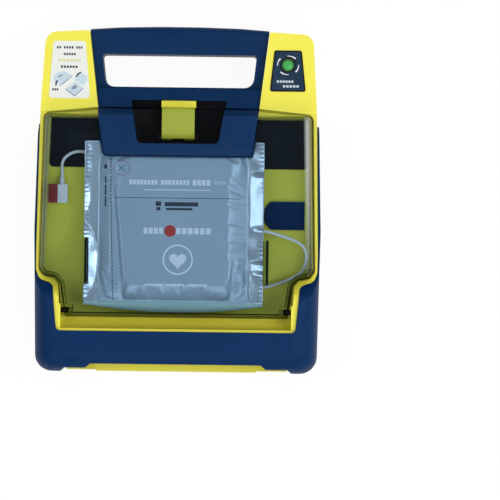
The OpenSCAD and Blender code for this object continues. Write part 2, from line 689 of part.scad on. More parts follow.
module status_rotor() color("#2f9a4a") on_corner(status_x, status_y) translate([0, 0, -3]) {
  cylinder(r = status_r, h = 1.4);
  translate([0, 0, -2]) cylinder(r = 0.8, h = 2 + eps);
  for (a = [0:45:315]) rotate(a) translate([0, -0.4, 1.4 - eps]) cube([status_r - 0.5, 0.8, 0.4]);
}
module status_coil() color("#2a2c30") on_corner(status_x, status_y) translate([0, 0, -13]) difference() {
  cylinder(r = status_r - 0.1, h = 9.5);
  translate([0, 0, 7]) cylinder(r = 0.8 + run_gap, h = 4);
}
module instruction_label() color("#eef1f4") on_corner(label_x, label_y)
  prism([[-19.4, -25.5, 3], [18.6, -25.5, 3], [13.6, 28.3, 3], [-16.2, 28.3, 3]], 0, label_t);

catch_seat = 1.5;
module latch_catch() color("#f0e92a") block(-lever_w / 2, lever_w / 2, shoulder_y + 5, root_y - 0.2,
  deck_z + catch_seat, deck_z + 9);
magnet_x = 53;
magnet_y = 59;
module reed_switch() color("#c9d2c4") rod_x(magnet_x - 8, magnet_x + 8, magnet_y, under_z - 1.7, 1.6);
module hinge_pins() color("silver") both_sides() rod_x(pin_x - 5, pin_end, hinge_y, hinge_z, hinge_r);

// Lid
ear_w = 6;
ear_x = pin_x - 9;
ear_r = hinge_r + 2.6;
module lid_lens() color(smoke) difference() {
  union() {
    difference() {
      loft(lid_out, lens_steps, 4);
      loft(inset(lid_out, lens_t),
        [for (s = lens_steps) [s[0], s[1] == lid_z ? s[1] - 1 : s[1] - lens_t]], 4);
    }
    both_sides() intersection() {
      union() {
        block(ear_x, pin_x + 2, hinge_y - ear_r, hinge_y + ear_r, hinge_z - ear_r, hinge_z + ear_r);
        block(ear_x, ear_x + ear_w, hinge_y - ear_r, hinge_y + ear_r, hinge_z, lens_z - 1);
      }
      loft(lid_out, lens_steps, 4);
    }
  }
  rod_x(-pin_x - 10, pin_x + 10, hinge_y, hinge_z, hinge_r + run_gap);
  block(-big / 2, big / 2, lid_end_y - 1, hinge_y + 6, 0, lid_z + end_lift);
  prism(inset(housing_out, -run_gap), 0, big);
}
end_lift = 5;
lens_steps = [[0, lid_z], [0.3, lid_z + 3], [2.6, lens_z - 6], [3.2, lens_z - 3.2], [4.4, lens_z - 1.1],
  [6.4, lens_z]];

// Latch housing: a hollow block with the finger recess open towards the handle
housing_z = deck_z + 9.5;
housing_wall = 2.5;
recess_z = housing_z + housing_wall;
flange_w = 1.5;
module housing_block(d, z1) intersection() {
  prism(inset(housing_out, d), housing_z - 1, z1);
  along_x([[housing_y + d, housing_z - 2], [lid_top_y + 4 - d, housing_z - 2],
    [lid_top_y + 4 - d, housing_z + 10], [lid_top_y - 2 - d, z1], [housing_y + d + 6, z1],
    [housing_y + d, z1 - 2]], big);
}
module recess(d, z0) prism(inset(recess_out, -d), z0, big);
module latch_housing() color(navy) difference() {
  union() {
    difference() {
      intersection() {
        housing_block(0, overall_h);
        translate([0, 0, housing_z]) linear_extrude(big) square(big, center = true);
      }
      housing_block(housing_wall, overall_h - housing_wall);
    }
    intersection() {
      housing_block(eps, overall_h - eps);
      recess(housing_wall, housing_z);
    }
    difference() {
      prism(inset(trapezoid(housing_root_w, housing_y, housing_w - 6, lid_top_y - 20, 4, 4), -flange_w),
        lens_z - lens_t - 2.2, lens_z - lens_t - 0.2);
      prism(inset(housing_out, housing_wall), 0, big);
    }
  }
  recess(0, recess_z);
}

// Latch lever on its pin, sprung down on the catch
latch_y = recess_y + 6.5;
latch_z = recess_z + 5;
module latch_lever() color("#c2c63a") difference() {
  union() {
    along_x([[latch_y - 3, latch_z], [latch_y - 1.5, latch_z + 5], [latch_y + 3, latch_z + 7],
      [latch_y + lever_l - 6, latch_z + 7], [latch_y + lever_l - 1.4, latch_z + 4],
      [latch_y + lever_l - 1.4, latch_z], [latch_y + 3, latch_z - 1], [latch_y, latch_z - 3],
      [latch_y - 2.4, latch_z - 2]], lever_w - 2);
    block(-lever_w / 2 + 5, lever_w / 2 - 5, latch_y + lever_l - 1.7, latch_y + lever_l - 1.1, deck_z + 8.5,
      latch_z + 3);
  }
  rod_x(-lever_w, lever_w, latch_y, latch_z, latch_pin_r + run_gap);
  block(-5, 5, latch_y - 10, latch_y + 4.6, latch_z - 10, latch_z + 4.4);
}
bracket_x = lever_w / 2 - 0.6;
bracket_t = 2.6;
bracket_r = latch_pin_r + 1.1;
pin_over = 1;
module latch_pin() color("silver") {
  rod_x(-bracket_x - bracket_t - pin_over, bracket_x + bracket_t + pin_over, latch_y, latch_z, latch_pin_r);
  both_sides() difference() {
    block(bracket_x, bracket_x + bracket_t, latch_y - bracket_r, latch_y + bracket_r, recess_z,
      latch_z + bracket_r);
    rod_x(0, lever_w, latch_y, latch_z, latch_pin_r - eps);
  }
}
spring_r = latch_pin_r + spring_wire + 0.3;
spring_pitch = 1.6;
spring_rings = 8 * spring_turns;
spring_len = spring_turns * spring_pitch;
function spring_at(k) = let (a = 45 * k) [-spring_len / 2 + spring_len * k / spring_rings,
  latch_y + spring_r * cos(a), latch_z + spring_r * sin(a)];
spring_path = [for (k = [0:spring_rings]) spring_at(k)];
spring_gap = min([for (k = [0:spring_rings - 8]) norm(spring_path[k] - spring_path[k + 8])]) - spring_wire;
echo(latch_spring_gap = spring_gap);
module latch_spring() color("silver") tube(spring_path, spring_wire / 2, 6);

module housing_screws() color("silver") both_sides() for (y = [housing_y + 12, lid_top_y - 12])
  translate([housing_root_w / 2 - 7, y, overall_h - housing_wall - 7]) {
    cylinder(r = 3.2, h = 2);
    cylinder(r = 2, h = 7);
  }
magnet_h = 4;
module lid_magnet() color("#8d9298")
  translate([magnet_x, magnet_y, overall_h - housing_wall - screw_free - magnet_h])
    cylinder(r = 5, h = magnet_h);

clip_x = pouch_w / 2 + 0.7;
clip_t = 2.2;
clip_y0 = -78;
clip_y1 = -37;
module pouch_clips() color(smoke) both_sides() {
  block(clip_x - clip_t / 2, clip_x + clip_t / 2, clip_y0, clip_y1, pouch_z - 1, lens_z - lens_t);
  block(clip_x - 4, clip_x + clip_t / 2, clip_y0, clip_y1, pouch_z - 3, pouch_z - 1 + eps);
}

// Pouch of two foil films around the pads
pouch_x = -3;
pouch_y = -22.5;
film_t = 0.8;
pouch_z = lens_z - lens_t - pouch_h - 3;
function pouch_edge(flap) = [for (s = [[1, -1], [1, 1], [-1, 1], [-1, -1]])
  [pouch_x + s[0] * pouch_w / 2, pouch_y + s[1] * pouch_l / 2 + (s[1] < 0 ? -flap : 0), 5]];
pouch_out = pouch_edge(0);
pouch_flap = 5;
pouch_clear = 0.4;
module pouch_cut() {
  prism(inset(housing_out, -pouch_clear), pouch_z - 10, big);
  both_sides() block(clip_x - clip_t / 2 - pouch_clear, clip_x + 6, clip_y0 - pouch_clear,
    clip_y1 + pouch_clear, 0, big);
}
module pouch_front() color("#8f9fb4") difference() {
  loft(pouch_out, [[0, pouch_z + film_t], [0, pouch_z + 2 * film_t], [6, pouch_z + 4],
    [13, pouch_z + pouch_h - 2.2], [20, pouch_z + pouch_h]]);
  loft(pouch_out, [[4, pouch_z], [4, pouch_z + film_t], [14, pouch_z + pouch_h - 3],
    [21, pouch_z + pouch_h - film_t]]);
  pouch_cut();
}
module pouch_back() color("#eceae2") difference() {
  prism(pouch_edge(pouch_flap), pouch_z, pouch_z + film_t - eps);
  pouch_cut();
}
pad_t = 2.6;
pad_l = 68;
pad_room = 32.5;
pad_taper = 7;
pad_shift = 6;
pad_drop = 24;
pad_w1 = pouch_w - 2 * pad_room;
pad_w0 = pad_w1 - 2 * pad_taper;
pad_z = pouch_z + film_t + 0.1;
module electrode_pads() color("#d9d3c4") for (k = [0:1])
  translate([pouch_x + pad_shift * (2 * k - 1), pouch_y - pad_drop, pad_z + k * (pad_t + 0.1)])
    prism(trapezoid(pad_w0, -pad_l / 2, pad_w1, pad_l / 2, 14, 10), 0, pad_t);

// Pad cable: from the plug, under the pouch, along the hinge and up into the pouch's edge
lid_x = lid_mid_w / 2;
cable_route = [[cable_x, boot_y + boot_l, cable_z], [cable_x, 24, cable_z], [cable_x - 0.2, 31, 51],
  [cable_x + 2.3, 37, 51], [cable_x + 8.8, 41.5, 51], [cable_x + 16.8, 43, 51], [cable_x + 26.8, 40, 50.5],
  [-68, 30, 49.5], [-60, 12, 48], [-55, -10, 47.6], [-52, -34, 47.6], [-46, -58, 47.8], [-32, -76, 48.5],
  [-8, -85, 50], [22, -87, 51], [52, -85.5, 51], [lid_x - 49, -81, 51], [lid_x - 33, -76.5, 50.5],
  [lid_x - 22, -72, 50.5], [lid_x - 17.5, -69.6, 51], [lid_x - 13, -67, 52], [lid_x - 9, -60, 55],
  [lid_x - 7.8, -50, 57.5], [lid_x - 11, -42, 59], [lid_x - 20, -36.4, 60], [lid_x - 33, -32, 61],
  [lid_x - 41, -29.7, 62], [pouch_x + pouch_w / 2 + 0.5, -28.5, 62.5]];
function spline(p, i, t) =
  let (n = len(p) - 1, a = p[max(i - 1, 0)], b = p[i], c = p[i + 1], d = p[min(i + 2, n)])
  0.5 * (2 * b + (c - a) * t + (2 * a - 5 * b + 4 * c - d) * t * t + (3 * b - a - 3 * c + d) * t * t * t);
cable_path = concat([for (i = [0:len(cable_route) - 2], k = [0:2]) spline(cable_route, i, k / 3)],
  [cable_route[len(cable_route) - 1]]);
cable_steps = [for (i = [1:len(cable_path) - 1]) norm(cable_path[i] - cable_path[i - 1])];
function total(v, i = 0) = i >= len(v) ? 0 : v[i] + total(v, i + 1);
echo(cable_length = total(cable_steps));

// A round tube swept along a path, its rings turned with the least twist
function tangent(p, i) = unit(p[min(i + 1, len(p) - 1)] - p[max(i - 1, 0)]);
function across(t, v) = unit(v - t * (t * v));
function frames(p, i, v) = i >= len(p) ? [] : let (t = tangent(p, i), n = across(t, v))
  concat([[n, cross(t, n)]], frames(p, i + 1, n));
module tube(p, r, sides) {
  seed = abs(tangent(p, 0)[2]) < 0.9 ? [0, 0, 1] : [1, 0, 0];
  f = frames(p, 0, seed);
  n = len(p) - 1;
  polyhedron([for (i = [0:n], s = [0:sides - 1]) let (a = 360 * s / sides)
      p[i] + r * (cos(a) * f[i][0] + sin(a) * f[i][1])],
    concat([[for (s = [0:sides - 1]) s]],
      [for (i = [0:n - 1], s = [0:sides - 1]) let (t = (s + 1) % sides)
        each [[i * sides + s, (i + 1) * sides + s, (i + 1) * sides + t],
          [i * sides + s, (i + 1) * sides + t, i * sides + t]]],
      [[for (s = [sides - 1:-1:0]) n * sides + s]]));
}
module pad_cable() color("#f4f3ee") tube(cable_path, cable_d / 2, 8);

rear_case();
front_case();
bumper();
handle();
handle_screws();
case_gasket();
case_screws();
rear_feet();
control_panel();
display_window();
button_bezel();
panel_lamps();
shock_switch();
speaker();
main_board();
board_screws();
hv_capacitor();
capacitor_strap();
hv_choke();
transfer_relay();
battery_bay();
battery_connector();
pad_socket();
data_port();
status_plate();
status_window();
status_coil();
instruction_label();
latch_catch();
reed_switch();
hinge_pins();
lid_lens();
latch_housing();
latch_pin();
latch_spring();
housing_screws();
lid_magnet();
pouch_clips();
pouch_front();
pouch_back();
electrode_pads();
latch_lever();
shock_button();
battery_case();
battery_cells();
battery_contacts();
battery_latch();
port_cover();
status_rotor();
pad_plug();
plug_boot();
pad_cable();
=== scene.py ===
import json
import math
import bpy
from mathutils import Vector, Matrix, noise


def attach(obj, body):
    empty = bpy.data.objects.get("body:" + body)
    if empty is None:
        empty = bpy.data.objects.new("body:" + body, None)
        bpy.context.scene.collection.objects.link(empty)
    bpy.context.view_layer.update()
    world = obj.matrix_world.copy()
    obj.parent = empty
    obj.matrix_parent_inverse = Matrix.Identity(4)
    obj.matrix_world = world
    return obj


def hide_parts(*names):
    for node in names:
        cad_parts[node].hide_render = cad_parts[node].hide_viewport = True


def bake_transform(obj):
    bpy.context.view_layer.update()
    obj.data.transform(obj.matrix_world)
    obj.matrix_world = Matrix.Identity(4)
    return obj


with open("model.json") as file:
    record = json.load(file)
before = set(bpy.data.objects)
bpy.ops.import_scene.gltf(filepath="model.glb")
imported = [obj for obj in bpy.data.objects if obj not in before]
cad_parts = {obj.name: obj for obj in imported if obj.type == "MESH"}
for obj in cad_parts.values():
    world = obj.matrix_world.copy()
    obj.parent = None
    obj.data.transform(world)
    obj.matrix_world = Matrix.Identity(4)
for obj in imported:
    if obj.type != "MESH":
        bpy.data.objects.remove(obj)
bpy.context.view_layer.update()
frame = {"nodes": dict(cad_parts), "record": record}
cadNodes = frame["nodes"]
bodyOf = {node: body for body, members in frame["record"]["behaviour"]["bodies"].items() for node in members}
slotOf = {part["node"]: part["material_slot"] for part in frame["record"]["subparts"]}
mm = 0.001


# camera: a long lens straight above the front face, turned a little as the photograph is
cameraSet = {"place": (0.0673, -0.0459, 3.076), "turn": 0.74, "field": 0.4574, "distance": 3.0, "sensor": 36.0,
             "sees": 30}
bpy.ops.object.camera_add(location=cameraSet["place"], rotation=(0, 0, math.radians(cameraSet["turn"])))
camera = bpy.context.object
camera.name = "frontCamera"
camera.data.sensor_width = cameraSet["sensor"]
camera.data.lens = cameraSet["sensor"] * cameraSet["distance"] / cameraSet["field"]
camera.data.clip_end = cameraSet["sees"]
bpy.context.scene.camera = camera
print("camera placed")


# pad lead: out of the plug's boot, over the deck behind the pouch, along the hinge end and into the pouch's edge
cableSet = {
    "diameter": 2.8, "stepsPerSpan": 6, "sides": 4,
    "route": [
        (-106.8, 19.5, 50.6), (-106.8, 24, 50.6), (-107, 31, 51), (-104.5, 37, 51), (-98, 41.5, 51),
        (-90, 43, 51), (-80, 40, 50.5), (-68, 30, 49.5), (-60, 12, 48), (-55, -10, 47.6), (-52, -34, 47.6),
        (-46, -58, 47.8), (-32, -76, 48.5), (-8, -85, 50), (22, -87, 51), (52, -85.5, 51), (78, -81, 51),
        (94, -76.5, 50.5), (105, -72, 50.5), (109.5, -69.6, 51), (114, -67, 52), (118, -60, 55), (119.2, -50, 57.5),
        (116, -42, 59), (107, -36.4, 60), (94, -32, 61), (86, -29.7, 62), (80, -28.5, 62.5)],
    "lidSide": (0.080, -0.082, 0.051), "baseSide": (-0.040, -0.082, 0.051),  # the run that twists as the lid opens
}


def smoothRoute(points, steps):
    path = []
    last = len(points) - 1
    for i in range(last):
        a, b, c, d = (Vector(points[max(0, min(last, k))]) for k in (i - 1, i, i + 1, i + 2))
        for k in range(steps):
            t = k / steps
            path.append(0.5 * (2 * b + (c - a) * t + (2 * a - 5 * b + 4 * c - d) * t * t
                               + (3 * b - a - 3 * c + d) * t * t * t))
    path.append(Vector(points[last]))
    return [p * mm for p in path]


def onlySelect(piece):
    bpy.ops.object.select_all(action="DESELECT")
    piece.select_set(True)
    bpy.context.view_layer.objects.active = piece


cablePath = smoothRoute(cableSet["route"], cableSet["stepsPerSpan"])
bpy.ops.object.select_all(action="DESELECT")
bpy.ops.curve.primitive_bezier_curve_add()
padCable = bpy.context.object
padCable.name = "padCable"
padCable.data.splines.clear()
run = padCable.data.splines.new("POLY")
run.points.add(len(cablePath) - 1)
for point, place in zip(run.points, cablePath):
    point.co = (*place, 1)
padCable.data.dimensions = "3D"
padCable.data.bevel_depth = cableSet["diameter"] * mm / 2
padCable.data.bevel_resolution = cableSet["sides"]
padCable.data.use_fill_caps = True
onlySelect(padCable)
bpy.ops.object.convert(target="MESH")
bpy.ops.object.shade_smooth()
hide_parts("pad_cable")
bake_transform(padCable)


# materials
def linear(hexColor):
    parts = [int(hexColor[i:i + 2], 16) / 255 for i in (1, 3, 5)]
    return (*[c / 12.92 if c < 0.04045 else ((c + 0.055) / 1.055) ** 2.4 for c in parts], 1)


def addNode(tree, kind, settings=None, links=None):
    node = tree.nodes.new(kind)
    for key, value in (settings or {}).items():
        if isinstance(key, str) and key[0].islower():
            setattr(node, key, value)
        else:
            node.inputs[key].default_value = value
    for key, source in (links or {}).items():
        tree.links.new(source, node.inputs[key])
    return node


def startMaterial(name, settings):
    material = bpy.data.materials.new(name)
    material.use_nodes = True
    tree = material.node_tree
    shader = tree.nodes["Principled BSDF"]
    for key, value in settings.items():
        shader.inputs[key].default_value = value
    coords = addNode(tree, "ShaderNodeTexCoord").outputs["Object"]
    return material, tree, shader, coords


# an injection moulding: even colour with a faint flow cloud, and a fine spark-eroded grain in the gloss
def mouldedPlastic(name, color, shade, roughness=0.4, grainMm=0.6, grainDeep=0.012, cloudMm=45, specular=0.5):
    material, tree, shader, coords = startMaterial(name, {"IOR": 1.53, "Specular IOR Level": specular})
    cloud = addNode(tree, "ShaderNodeTexNoise", {"Scale": 1 / (cloudMm * mm), "Detail": 3}, {"Vector": coords})
    tone = addNode(tree, "ShaderNodeMix", {"data_type": "RGBA", 6: linear(color), 7: linear(shade)},
                   {0: cloud.outputs["Fac"]})
    grain = addNode(tree, "ShaderNodeTexNoise", {"Scale": 1 / (grainMm * mm), "Detail": 2}, {"Vector": coords})
    gloss = addNode(tree, "ShaderNodeMapRange", {"To Min": roughness - 0.06, "To Max": roughness + 0.08},
                    {"Value": grain.outputs["Fac"]})
    bump = addNode(tree, "ShaderNodeBump", {"Strength": 0.35, "Distance": grainDeep * mm},
                   {"Height": grain.outputs["Fac"]})
    tree.links.new(tone.outputs[2], shader.inputs["Base Color"])
    tree.links.new(gloss.outputs[0], shader.inputs["Roughness"])
    tree.links.new(bump.outputs[0], shader.inputs["Normal"])
    return material


# painted light on the lens: a milky painted reflection or a dark painted shade laid as a band along one side of the
# lens, which dies away towards the hinge
def addPaintedStreak(tree, coords, side, streak, below):
    x, y, z = addNode(tree, "ShaderNodeSeparateXYZ", {}, {0: coords}).outputs
    (y0, x0), (y1, x1) = side
    near, full, past, clearOf = [d * mm for d in streak["inset"]]
    fadeFrom, fadeTo = [d * mm for d in streak["fade"]]
    sideX = addNode(tree, "ShaderNodeMapRange", {"From Min": y0 * mm, "From Max": y1 * mm, "To Min": x0 * mm,
                                                 "To Max": x1 * mm}, {"Value": y})
    inset = addNode(tree, "ShaderNodeMath", {"operation": streak["side"]}, {0: sideX.outputs[0], 1: x})
    rise = addNode(tree, "ShaderNodeMapRange", {"interpolation_type": "SMOOTHSTEP", "From Min": near,
                                                "From Max": full}, {"Value": inset.outputs[0]})
    drop = addNode(tree, "ShaderNodeMapRange", {"interpolation_type": "SMOOTHSTEP", "From Min": clearOf,
                                                "From Max": past}, {"Value": inset.outputs[0]})
    along = addNode(tree, "ShaderNodeMapRange", {"From Min": fadeFrom, "From Max": fadeTo, "To Max": streak["cover"]},
                    {"Value": y})
    band = addNode(tree, "ShaderNodeMath", {"operation": "MULTIPLY"}, {0: rise.outputs[0], 1: drop.outputs[0]})
    share = addNode(tree, "ShaderNodeMath", {"operation": "MULTIPLY"}, {0: band.outputs[0], 1: along.outputs[0]})
    paintedLightShader = addNode(tree, "ShaderNodeBsdfPrincipled", {"Base Color": linear(streak["color"]), "Roughness": 0.3})
    return addNode(tree, "ShaderNodeMixShader", {}, {0: share.outputs[0], 1: below.outputs[0], 2: paintedLightShader.outputs[0]})


# a polished, tinted polycarbonate: looked through it takes some light, and only a wall seen nearly edge on closes up
def tintedClear(name, tint, edge, cover, edgeCover, roughness=0.04, specular=0.5, side=(), streaks=()):
    material, tree, shader, coords = startMaterial(name, {"Base Color": linear(edge), "IOR": 1.58,
                                                          "Specular IOR Level": specular})
    haze = addNode(tree, "ShaderNodeTexNoise", {"Scale": 1 / (18 * mm), "Detail": 4}, {"Vector": coords})
    gloss = addNode(tree, "ShaderNodeMapRange", {"To Min": roughness, "To Max": roughness + 0.05},
                    {"Value": haze.outputs["Fac"]})
    tree.links.new(gloss.outputs[0], shader.inputs["Roughness"])
    facing = addNode(tree, "ShaderNodeLayerWeight", {"Blend": 0.35})
    share = addNode(tree, "ShaderNodeMapRange",
                    {"From Min": 0.45, "From Max": 0.95, "To Min": cover, "To Max": edgeCover},
                    {"Value": facing.outputs["Facing"]})
    clear = addNode(tree, "ShaderNodeBsdfTransparent", {"Color": linear(tint)})
    mixed = addNode(tree, "ShaderNodeMixShader", {}, {0: share.outputs[0], 1: clear.outputs[0], 2: shader.outputs[0]})
    # painted reflection and painted shade laid along the lens sides
    for streak in streaks:
        mixed = addPaintedStreak(tree, coords, side, streak, mixed)
    tree.links.new(mixed.outputs[0], tree.nodes["Material Output"].inputs["Surface"])
    return material


# a metal surface, plated or drawn: streaks along one direction break up the reflection
def drawnMetal(name, color, shade, roughness, streakMm=0.4):
    material, tree, shader, coords = startMaterial(name, {"Metallic": 1.0})
    streak = addNode(tree, "ShaderNodeTexNoise", {"Scale": 1 / (streakMm * mm), "Detail": 3},
                     {"Vector": addNode(tree, "ShaderNodeMapping", {"Scale": (0.1, 1, 1)},
                                        {"Vector": coords}).outputs[0]})
    tone = addNode(tree, "ShaderNodeMix", {"data_type": "RGBA", 6: linear(color), 7: linear(shade)},
                   {0: streak.outputs["Fac"]})
    gloss = addNode(tree, "ShaderNodeMapRange", {"To Min": roughness - 0.05, "To Max": roughness + 0.1},
                    {"Value": streak.outputs["Fac"]})
    tree.links.new(tone.outputs[2], shader.inputs["Base Color"])
    tree.links.new(gloss.outputs[0], shader.inputs["Roughness"])
    return material


# a printed circuit board: solder mask over tracks that stand a little proud
def boardLaminate(name):
    material, tree, shader, coords = startMaterial(name, {"Roughness": 0.35})
    tracks = addNode(tree, "ShaderNodeTexBrick",
                     {"Scale": 1 / (14 * mm), "Color1": linear("#1d5f36"), "Color2": linear("#236b3e"),
                      "Mortar": linear("#2f8a50"), "Mortar Size": 0.02}, {"Vector": coords})
    bump = addNode(tree, "ShaderNodeBump", {"Strength": 0.4, "Distance": 0.05 * mm},
                   {"Height": tracks.outputs["Fac"]})
    tree.links.new(tracks.outputs["Color"], shader.inputs["Base Color"])
    tree.links.new(bump.outputs[0], shader.inputs["Normal"])
    return material


# varnished copper wire wound round a ring: fine bright turns
def woundCopper(name):
    material, tree, shader, coords = startMaterial(name, {"Metallic": 0.8, "Roughness": 0.3})
    turns = addNode(tree, "ShaderNodeTexWave", {"Scale": 1 / (8 * mm), "Distortion": 0.5}, {"Vector": coords})
    tone = addNode(tree, "ShaderNodeMix", {"data_type": "RGBA", 6: linear("#7a3d18"), 7: linear("#c47a3c")},
                   {0: turns.outputs["Fac"]})
    bump = addNode(tree, "ShaderNodeBump", {"Strength": 0.6, "Distance": 0.3 * mm}, {"Height": turns.outputs["Fac"]})
    tree.links.new(tone.outputs[2], shader.inputs["Base Color"])
    tree.links.new(bump.outputs[0], shader.inputs["Normal"])
    return material


# a foil laminate with a printed outer film: satin in the middle, bright bare foil along the sealed sides
def foilLaminate(name, color, shade, bare, sealLeft, sealRight):
    material, tree, shader, coords = startMaterial(name, {"IOR": 1.5, "Coat Weight": 0.3, "Coat Roughness": 0.12})
    sideways = addNode(tree, "ShaderNodeSeparateXYZ", {}, {0: coords}).outputs["X"]
    left = addNode(tree, "ShaderNodeMapRange", {"interpolation_type": "SMOOTHSTEP", "From Min": sealLeft * mm,
                                                "From Max": (sealLeft - 1.2) * mm}, {"Value": sideways})
    right = addNode(tree, "ShaderNodeMapRange", {"interpolation_type": "SMOOTHSTEP", "From Min": sealRight * mm,
                                                 "From Max": (sealRight + 1.2) * mm}, {"Value": sideways})
    seal = addNode(tree, "ShaderNodeMath", {"operation": "MAXIMUM"}, {0: left.outputs[0], 1: right.outputs[0]})
    cloud = addNode(tree, "ShaderNodeTexNoise", {"Scale": 1 / (55 * mm), "Detail": 3}, {"Vector": coords})
    tone = addNode(tree, "ShaderNodeMix", {"data_type": "RGBA", 6: linear(color), 7: linear(shade)},
                   {0: cloud.outputs["Fac"]})
    skin = addNode(tree, "ShaderNodeMix", {"data_type": "RGBA", 7: linear(bare)},
                   {0: seal.outputs[0], 6: tone.outputs[2]})
    metal = addNode(tree, "ShaderNodeMapRange", {"To Min": 0.25, "To Max": 0.9}, {"Value": seal.outputs[0]})
    gloss = addNode(tree, "ShaderNodeMapRange", {"To Min": 0.38, "To Max": 0.26}, {"Value": seal.outputs[0]})
    crease = addNode(tree, "ShaderNodeTexNoise", {"Scale": 1 / (14 * mm), "Detail": 2, "Distortion": 0.4},
                     {"Vector": coords})
    bump = addNode(tree, "ShaderNodeBump", {"Strength": 0.2, "Distance": 0.3 * mm},
                   {"Height": crease.outputs["Fac"]})
    tree.links.new(skin.outputs[2], shader.inputs["Base Color"])
    tree.links.new(metal.outputs[0], shader.inputs["Metallic"])
    tree.links.new(gloss.outputs[0], shader.inputs["Roughness"])
    tree.links.new(bump.outputs[0], shader.inputs["Normal"])
    return material


# printing ink on film: flat colour that thins a little where the screen left it uneven
def printingInk(name, color, shade, roughness=0.45):
    material, tree, shader, coords = startMaterial(name, {"Roughness": roughness})
    speck = addNode(tree, "ShaderNodeTexNoise", {"Scale": 1 / (1.5 * mm), "Detail": 2}, {"Vector": coords})
    tone = addNode(tree, "ShaderNodeMix", {"data_type": "RGBA", 6: linear(color), 7: linear(shade)},
                   {0: speck.outputs["Fac"]})
    tree.links.new(tone.outputs[2], shader.inputs["Base Color"])
    return material


# the lens: where its sides run (y and x at the hinge and at the handle), the painted light along them (a milky
# painted reflection on the right wall, a grey-green painted sheen on the left wall, and dark green painted shade
# along both outer rolled edges), and its hinge end, painted dark
lensSet = {
    "side": ((-62, 127), (78, 123.7)),
    "streaks": (
        {"color": "#d2d4ca", "cover": 0.34, "side": "SUBTRACT", "inset": (2.4, 4.0, 6.0, 9.5), "fade": (-75, 40)},
        {"color": "#6a7658", "cover": 0.4, "side": "ADD", "inset": (0.8, 2.0, 5.5, 8.5), "fade": (-80, -20)},
        {"color": "#2e4426", "cover": 0.8, "side": "SUBTRACT", "inset": (-3.0, -1.5, 1.2, 2.6), "fade": (-90, -60)},
        {"color": "#3c5230", "cover": 0.6, "side": "ADD", "inset": (-3.0, -1.5, 0.8, 2.0), "fade": (-90, -60)}),
    "endSteep": 0.45, "endAbove": 60, "endBefore": -60,
}
finish = {
    "yellow_abs": mouldedPlastic("moulded ABS, signal yellow", "#eee64e", "#e6dc40", 0.4, specular=0.4),
    "navy_rubber": mouldedPlastic("moulded elastomer, navy", "#052d5a", "#03264e", 0.5, 0.8, 0.03, specular=0.07),
    "navy_plastic": mouldedPlastic("moulded ABS, navy", "#062e58", "#04274c", 0.46, 0.7, 0.02, specular=0.08),
    "smoky_lens": tintedClear("moulded polycarbonate, smoky", "#e6eef5", "#2a3420", 0.03, 0.9, side=lensSet["side"],
                              streaks=lensSet["streaks"]),
    "panel_film": mouldedPlastic("printed polyester film, dark navy", "#0a131e", "#070e18", 0.3, 0.5, 0.004,
                                 specular=0.12),
    "display_glass": mouldedPlastic("display glass, dark grey", "#161e28", "#121922", 0.15, 0.5, 0.001, specular=0.2),
    "pale_orange": mouldedPlastic("moulded ABS, pale orange", "#f0b48c", "#e6a67c", 0.4),
    "red_plastic": mouldedPlastic("moulded ABS, red", "#9c2018", "#861a12", 0.35),
    "white_plastic": mouldedPlastic("moulded ABS, white", "#f0f0ea", "#e4e4de", 0.38),
    # olive here is painted shade: the yellow latch lever coloured as it looks in the shade of its recess
    "olive_plastic": mouldedPlastic("moulded ABS, lime", "#9aa636", "#8e9a2f", 0.42, specular=0.3),
    "bright_yellow": mouldedPlastic("moulded acetal, bright yellow", "#e4de2a", "#dad422", 0.32),
    "dark_rubber": mouldedPlastic("moulded rubber, black", "#2a2c30", "#222428", 0.65, 0.9, 0.04),
    "dark_plastic": mouldedPlastic("moulded nylon, black", "#26282c", "#1e2024", 0.5),
    "steel": drawnMetal("zinc plated steel", "#c4c8cc", "#9a9ea4", 0.28),
    "black_steel": drawnMetal("black oxide steel", "#1c1d20", "#121316", 0.45),
    "circuit_board": boardLaminate("glass epoxy board"),
    "blue_can": mouldedPlastic("shrink sleeve, blue", "#2d5f8f", "#285684", 0.3),
    "copper_winding": woundCopper("varnished copper wire"),
    "gold_contact": drawnMetal("gold flashed brass", "#e4c060", "#c8a048", 0.22),
    "cell_wrap": mouldedPlastic("shrink sleeve, grey", "#80868e", "#747a82", 0.35),
    "status_green": mouldedPlastic("moulded acrylic, green", "#58d878", "#3cbc5e", 0.18, 0.6, 0.004),
    "clear_window": tintedClear("moulded polycarbonate, clear", "#eef6f0", "#9fb8a8", 0.05, 0.5, 0.03),
    "label_film": mouldedPlastic("label film, white", "#e8eae4", "#dfe2dc", 0.4, 0.5, 0.003),
    "pouch_foil": foilLaminate("foil laminate, blue grey", "#aebec6", "#a2b4be", "#c6d0d5", -71.5, 64.5),
    "pouch_white": mouldedPlastic("foil laminate, white", "#ecebe4", "#e0dfd8", 0.35, 3.0, 0.08),
    "pad_gel": mouldedPlastic("foam and gel", "#ddd7c8", "#d0c9b8", 0.55, 1.2, 0.06),
    "cable_jacket": mouldedPlastic("extruded silicone, white", "#ecece6", "#deded8", 0.42, 0.5, 0.006),
}
# dark, nearly opaque painted shade for the walls at the lens's hinge end
lensEndPaintedShade = tintedClear("moulded polycarbonate, cut edge", "#8a9470", "#141a0c", 0.75, 0.95, 0.3, 0.06)
hemFilm = printingInk("heat sealed film, teal", "#bcd8cc", "#a8c6bc", 0.22)
# near-black: painted shade on the clips' uprights, and print for the status plate's border and bezel ring
blackSlitShadeAndPrint = mouldedPlastic("moulded polycarbonate, black", "#0a0c0e", "#07090b", 0.4, specular=0.1)
plateFilm = mouldedPlastic("printed polyester film, slate", "#22384e", "#1c3146", 0.3, 0.5, 0.004, specular=0.1)
